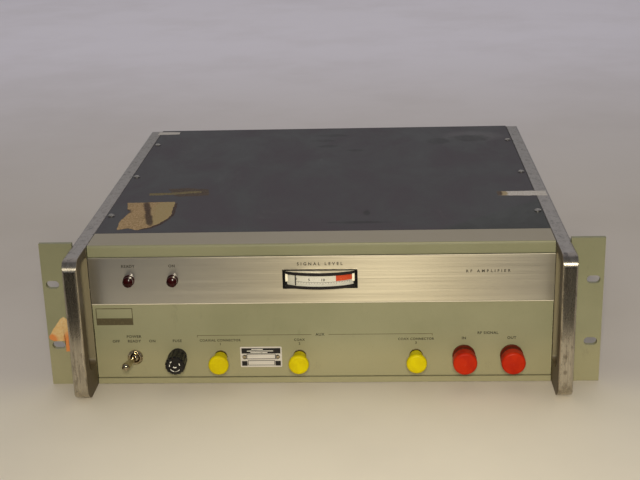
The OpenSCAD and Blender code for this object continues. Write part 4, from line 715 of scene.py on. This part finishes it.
def meter_marks():
    """Ticks, numbers and a red zone on the curved scale."""
    lo, hi = low("meter_scale"), high("meter_scale")
    pivot = next(joint for joint in frame["joints"] if joint["name"] == "pointer_swing")["pos_m"]
    pivot_y = pivot[1] / MM
    radius = pivot_y - lo.y

    def on_scale(x, z, t):
        a = x / radius
        return ((radius + t) * math.sin(a), pivot_y - (radius + t) * math.cos(a), z)

    per_degree = radius * math.pi / 180
    zero, full = -21 * per_degree, 26 * per_degree
    red_from, red_to = 13.6 * per_degree, 28.2 * per_degree
    line_z = (lo.z + hi.z) / 2 - 1.8
    half_line, half_tick = 0.12, 0.11
    long_tick, short_tick, number_h = 2.0, 1.1, 2.2
    divisions, per_number, numbers = 20, 5, 3
    ticks = Print()
    ticks.bar(zero, full, line_z - half_line, line_z + half_line, steps=24)
    for i in range(divisions + 1):
        x = zero + (full - zero) * i / divisions
        tall = short_tick if i % per_number else long_tick
        ticks.bar(x - half_tick, x + half_tick, line_z - tall, line_z)
    for i in range(0, numbers * per_number, per_number):
        ticks.words(str(i), zero + (full - zero) * i / divisions, line_z + number_h, number_h)
    ticks.lay("meter_ticks", on_scale, BLACK_INK, "cabinet")
    zone = Print()
    zone.bar(red_from, red_to, line_z + 0.5, hi.z - 0.3, steps=10)
    zone.lay("meter_red_zone", on_scale, RED_INK, "cabinet")


def window_edges():
    """Black bands above and below the meter's bowed window, and its frosted top and ends, painted bright as a
    highlight where they catch the light.
    """
    lo, hi = low("meter_window"), high("meter_window")
    y_bezel = low("meter_case").y
    half = hi.x
    bow = y_bezel - lo.y
    radius = (half * half + bow * bow) / (2 * bow)

    def on_window(x, z, t):
        return (x, lo.y + radius - math.sqrt(radius * radius - x * x) - t, z)

    edge, steps = half - 0.3, 24
    band_h = 2.7
    bands = Print()
    bands.bar(-edge, edge, hi.z - band_h, hi.z, steps)
    bands.bar(-edge, edge, lo.z, lo.z + band_h, steps)
    bands.lay("window_bands", on_window, BLACK_INK, "cabinet")
    # Frosted top of the window, painted bright as a highlight
    front_in, behind, top_t = 0.35, y_bezel + 0.6, 0.12
    front = [on_window(edge * (2 * i / steps - 1), 0, -front_in)[:2] for i in range(steps + 1)]
    top = bmesh.new()
    prism(top, front + [(edge, behind), (-edge, behind)], lambda x, y, t: (x, y, hi.z - SINK + t), top_t)
    finish_piece("window_top_edge", top, FROSTED_SHEEN, "cabinet")
    outer, inner = half - 0.1, half - 2.2
    outer_top, inner_top, foot_z = hi.z - 2.2, hi.z - 2.4, lo.z + 6
    end_y, end_t = y_bezel + 0.4, 1.5
    ends = bmesh.new()
    for side in (-1, 1):
        x0, x1 = side * outer, side * inner
        shape = [(x0, outer_top), (x1, inner_top), (x1, foot_z), (x0, foot_z)]
        prism(ends, shape, facing_front(end_y), end_t)
    finish_piece("window_end_edges", ends, FROSTED_SHEEN, "cabinet")


# Painted highlights on the fuse cap: radius, width, first and last angle in degrees
FUSE_ARCS = (
    (5.0, 0.6, 215, 262),
    (5.1, 0.5, 275, 320),
    (5.0, 0.9, 122, 142),
    (4.6, 0.7, 160, 185),
    (4.4, 0.8, 8, 34),
    (1.4, 1.0, 200, 330),
)


def fuse_marks():
    """White marks on the front of the fuse cap, painted as highlights."""
    centre = middle("fuse_cap")
    marks = Print()
    for radius, line, start, end in FUSE_ARCS:
        marks.arc(centre.x, centre.z, radius, line, start, end)
    marks.lay("fuse_marks", facing_front(low("fuse_cap").y), WHITE_INK, "fuse_cap")


# Paper, tape and other residue

# Reach of a stain above and below its place, and colours of the stains
STAIN_H = 20
BROWN = (58, 38, 24)
OCHRE = (158, 138, 94)
TAPE_OCHRE = (158, 138, 98)
ORANGE = (204, 122, 62)

# Outlines of the pieces on the cover, seen from above, and of the ear's label, seen from the front
LABEL_OUTLINE = [
    (-187.8, -60), (-142.5, -58.7), (-140, -97.5), (-142.2, -111), (-148, -126), (-154.2, -134.5),
    (-164.6, -141.3), (-172.5, -136), (-181.9, -140.7), (-184, -116), (-179.8, -86.6), (-183.7, -82),
]
# Painted shadow of the label, along its right and front edges
LABEL_SHADOW_OUTLINE = [
    (-141.5, -62), (-139, -64), (-137, -97), (-139.6, -112), (-145.6, -128), (-152, -137),
    (-163, -142.4), (-156, -132), (-149, -122), (-143, -104),
]
STAIN_OUTLINE = [(-155, -16), (-136, -13.5), (-115, -18), (-113, -38), (-132, -41), (-145, -40), (-151, -30)]
STREAK_OUTLINE = [
    (-172, -29.5), (-151, -28.5), (-128, -24), (-121, -25), (-121, -29), (-150, -36), (-170.5, -37),
]
RIGHT_TAPE_OUTLINE = [(164, -52), (210.4, -53), (210.4, -38.5), (164, -38.5)]
REAR_TAPE_OUTLINE = [(-203, 203), (-178, 205), (-178, 214), (-203, 216)]
EAR_LABEL_OUTLINE = [
    (-226.1, 64.7), (-222, 61.7), (-221, 31.5), (-226.4, 31.5), (-226.4, 41.6),
    (-236.7, 41.7), (-239.4, 43), (-240.5, 45.8), (-234.4, 55.1), (-229.2, 62.7),
]


def torn_sheet(name, corners, surface, material, seed, ragged=0.8, thickness=0.12):
    """Thin sheet with torn edges, laid on a surface given as a function of two places and a height."""
    tear_step, tear_hold = 1.6, 0.6
    rng = random.Random(seed)
    outline = []
    for a, b in zip(corners, corners[1:] + corners[:1]):
        a, b = Vector(a), Vector(b)
        along = (b - a).normalized()
        across = Vector((-along.y, along.x))
        steps = max(2, int((b - a).length / tear_step))
        drift = 0.0
        for i in range(steps):
            outline.append(a.lerp(b, i / steps) + across * drift)
            drift = tear_hold * drift + rng.uniform(-1, 1) * ragged * tear_hold
    mesh = bmesh.new()
    prism(mesh, outline, lambda u, v, t: surface(u, v, t - SINK), thickness)
    return finish_piece(name, mesh, material, "cabinet")


def cover_stain(x, y, reach_x, reach_y, turn, colour):
    """Stain on a piece that lies on the cover, as paper_look takes it."""
    return (x, y, Z_COVER), (reach_x, reach_y, STAIN_H), turn, colour


def cover_label():
    """Torn label on the cover, with a painted shadow along its right and front edges."""
    paper = paper_look("old_paper", (182, 151, 109), (136, 112, 73), (
        cover_stain(-148, -82, 16, 40, 0, OCHRE),
        cover_stain(-150, -116, 14, 16, 30, OCHRE),
        cover_stain(-166, -76, 4.5, 26, 13, BROWN),
        cover_stain(-159, -108, 4.5, 30, 13, BROWN),
        cover_stain(-184, -88, 7, 10, 0, BROWN),
    ))
    torn_sheet("torn_label", LABEL_OUTLINE, on_cover, paper, seed=3)
    # Painted shadow: a dark sheet along the label's right and front edges
    rim = paper_look("label_shadow", (74, 52, 40), (50, 38, 34))
    torn_sheet("label_shadow", LABEL_SHADOW_OUTLINE, on_cover, rim, seed=4, ragged=0.5, thickness=0.08)


def adhesive():
    """Stain and streak of old adhesive on the cover."""
    russet = paper_look("adhesive_stain", (86, 70, 52), (70, 58, 52))
    torn_sheet("adhesive_stain", STAIN_OUTLINE, on_cover, russet, seed=8, ragged=1.6, thickness=0.05)
    olive = paper_look("adhesive_line", (122, 108, 70), (98, 86, 58))
    torn_sheet("adhesive_line", STREAK_OUTLINE, on_cover, olive, seed=9, ragged=1.2, thickness=0.07)


def tapes():
    """Strips of white tape at the right and at the rear of the cover."""
    white = paper_look("white_tape", (204, 197, 190), (182, 174, 164), (
        cover_stain(170, -45, 5, 12, 0, TAPE_OCHRE),
        cover_stain(165, -45, 5, 12, 0, BROWN),
    ))
    torn_sheet("right_tape", RIGHT_TAPE_OUTLINE, on_cover, white, seed=5, ragged=0.5)
    torn_sheet("rear_tape", REAR_TAPE_OUTLINE, on_cover, white, seed=11, ragged=0.5)


def ear_label():
    """Torn label on the left ear, orange where its print is left."""
    y_ear = low("left_rack_ear").y
    paper = paper_look("ear_label", (208, 182, 134), (200, 160, 102), (
        ((-224, y_ear, 36), (6, 9, 18), 0, ORANGE),
        ((-238, y_ear, 44), (7, 9, 6), 0, ORANGE),
    ))
    torn_sheet("ear_label", EAR_LABEL_OUTLINE, facing_front(y_ear), paper, seed=21, ragged=0.4)


# Stage


def floor_look():
    """Pale bench, paler far behind, with a painted pool of warm light in front of the part and painted shade under
    the key light; dark to reflections past its front edge.
    """
    look = Look("floor", Specular_IOR_Level=0.2)
    y = look.axis("Y")
    side = look.math("ABSOLUTE", look.axis("X"))
    cloud = look.noise(3, 4.0, 0.6)
    far_behind = look.after(y, 900, 700)
    tone = look.mix(far_behind, (208, 199, 189), (242, 236, 242))
    # Painted pool of warm light on the bench in front of the part
    bench_light_pool = look.times(look.before(y, -192.5, 42.5), look.before(side, 360, 240))
    tone = look.mix(look.times(bench_light_pool, 0.46), tone, (255, 246, 218))
    # Painted shade on the bench under the key light, damping its bright pool
    key_pool_shade = look.before(y, -530, 130)
    tone = look.mix(key_pool_shade, tone, (180, 172, 158))
    tone = look.mix(look.range(cloud, 0.4, 0.7, 0.0, 0.12), tone, (170, 160, 146))
    past_edge = look.before(y, -357.5, 22.5)
    reflected = look.add("ShaderNodeLightPath").outputs["Is Glossy Ray"]
    look.use("Base Color", look.mix(look.times(past_edge, reflected), tone, (38, 33, 27)))
    look.use("Roughness", look.spread(cloud, 0.55, 0.7))
    return look.material


def floor():
    """Square floor, just under the part."""
    half, drop = 4000, 0.2
    mesh = bmesh.new()
    corners = ((-half, -half), (half, -half), (half, half), (-half, half))
    mesh.faces.new([mesh.verts.new(Vector((x, y, -drop)) * MM) for x, y in corners])
    data = bpy.data.meshes.new("floor")
    mesh.to_mesh(data)
    mesh.free()
    data.materials.append(floor_look())
    piece = bpy.data.objects.new("floor", data)
    bpy.context.scene.collection.objects.link(piece)


def studio_world():
    """Soft grey surroundings, paler behind the part than in front of it."""
    front_tone = (0.175, 0.175, 0.19, 1)
    back_tone = (0.3, 0.3, 0.31, 1)
    turn_span = 0.7
    world = bpy.data.worlds.new("studio")
    world.use_nodes = True
    nodes, links = world.node_tree.nodes, world.node_tree.links
    background = nodes["Background"]
    place = nodes.new("ShaderNodeTexCoord")
    split = nodes.new("ShaderNodeSeparateXYZ")
    links.new(place.outputs["Generated"], split.inputs[0])
    turn = nodes.new("ShaderNodeMapRange")
    turn.interpolation_type = "SMOOTHSTEP"
    turn.inputs["From Min"].default_value = -turn_span
    turn.inputs["From Max"].default_value = turn_span
    links.new(split.outputs["Y"], turn.inputs["Value"])
    shade = nodes.new("ShaderNodeMix")
    shade.data_type = "RGBA"
    links.new(turn.outputs[0], shade.inputs[0])
    shade.inputs[MIX_A].default_value = front_tone
    shade.inputs[MIX_B].default_value = back_tone
    links.new(shade.outputs[MIX_COLOUR], background.inputs["Color"])
    background.inputs["Strength"].default_value = 1.0
    bpy.context.scene.world = world


def area_light(name, at, towards, size, watts, colour, spread=180):
    """Soft rectangular light, by its width and height in metres and its spread in degrees."""
    data = bpy.data.lights.new(name, "AREA")
    data.energy = watts
    data.shape = "RECTANGLE"
    data.size, data.size_y = size
    data.color = colour
    data.spread = math.radians(spread)
    lamp = bpy.data.objects.new(name, data)
    lamp.location = at
    lamp.rotation_mode = "QUATERNION"
    lamp.rotation_quaternion = (Vector(towards) - Vector(at)).to_track_quat("-Z", "Y")
    bpy.context.scene.collection.objects.link(lamp)


def lights():
    """Small warm key light in front, and a large soft one above and behind."""
    area_light("key", at=(0.055, -1.28, 0.57), towards=(0.06, -0.15, -0.03), size=(0.12, 0.3),
               watts=2.8, colour=(1.0, 0.93, 0.77), spread=90)
    area_light("top", at=(-0.2, 1.6, 2.3), towards=(0, 0, 0.1), size=(4, 4),
               watts=23, colour=(1.0, 0.97, 0.97))


def camera():
    """Camera at the photograph's place, turned by its heading, tilt and roll."""
    heading, down, roll = (math.radians(a) for a in (CAMERA_HEADING, CAMERA_DOWN, CAMERA_ROLL))
    level = Vector((math.cos(heading), -math.sin(heading), 0))
    ahead = Vector((math.sin(heading), math.cos(heading), 0))
    forward = ahead * math.cos(down) - Vector((0, 0, math.sin(down)))
    upright = level.cross(forward)
    right = level * math.cos(roll) + upright * math.sin(roll)
    up = right.cross(forward)
    data = bpy.data.cameras.new("camera")
    data.sensor_width = CAMERA_SENSOR
    data.lens = CAMERA_LENS
    data.clip_start = CAMERA_NEAR * MM
    view = bpy.data.objects.new("camera", data)
    turned = Matrix((right, up, -forward)).transposed().to_4x4()
    view.matrix_world = Matrix.Translation(Vector(CAMERA_AT) * MM) @ turned
    bpy.context.scene.collection.objects.link(view)
    bpy.context.scene.camera = view


bpy.context.scene.view_settings.view_transform = "Standard"
camera()
floor()
studio_world()
lights()
dress_cad_nodes()
panel_legends()
badge_and_brackets()
trim_marks()
plate_fields()
meter_marks()
window_edges()
fuse_marks()
cover_label()
adhesive()
tapes()
ear_label()
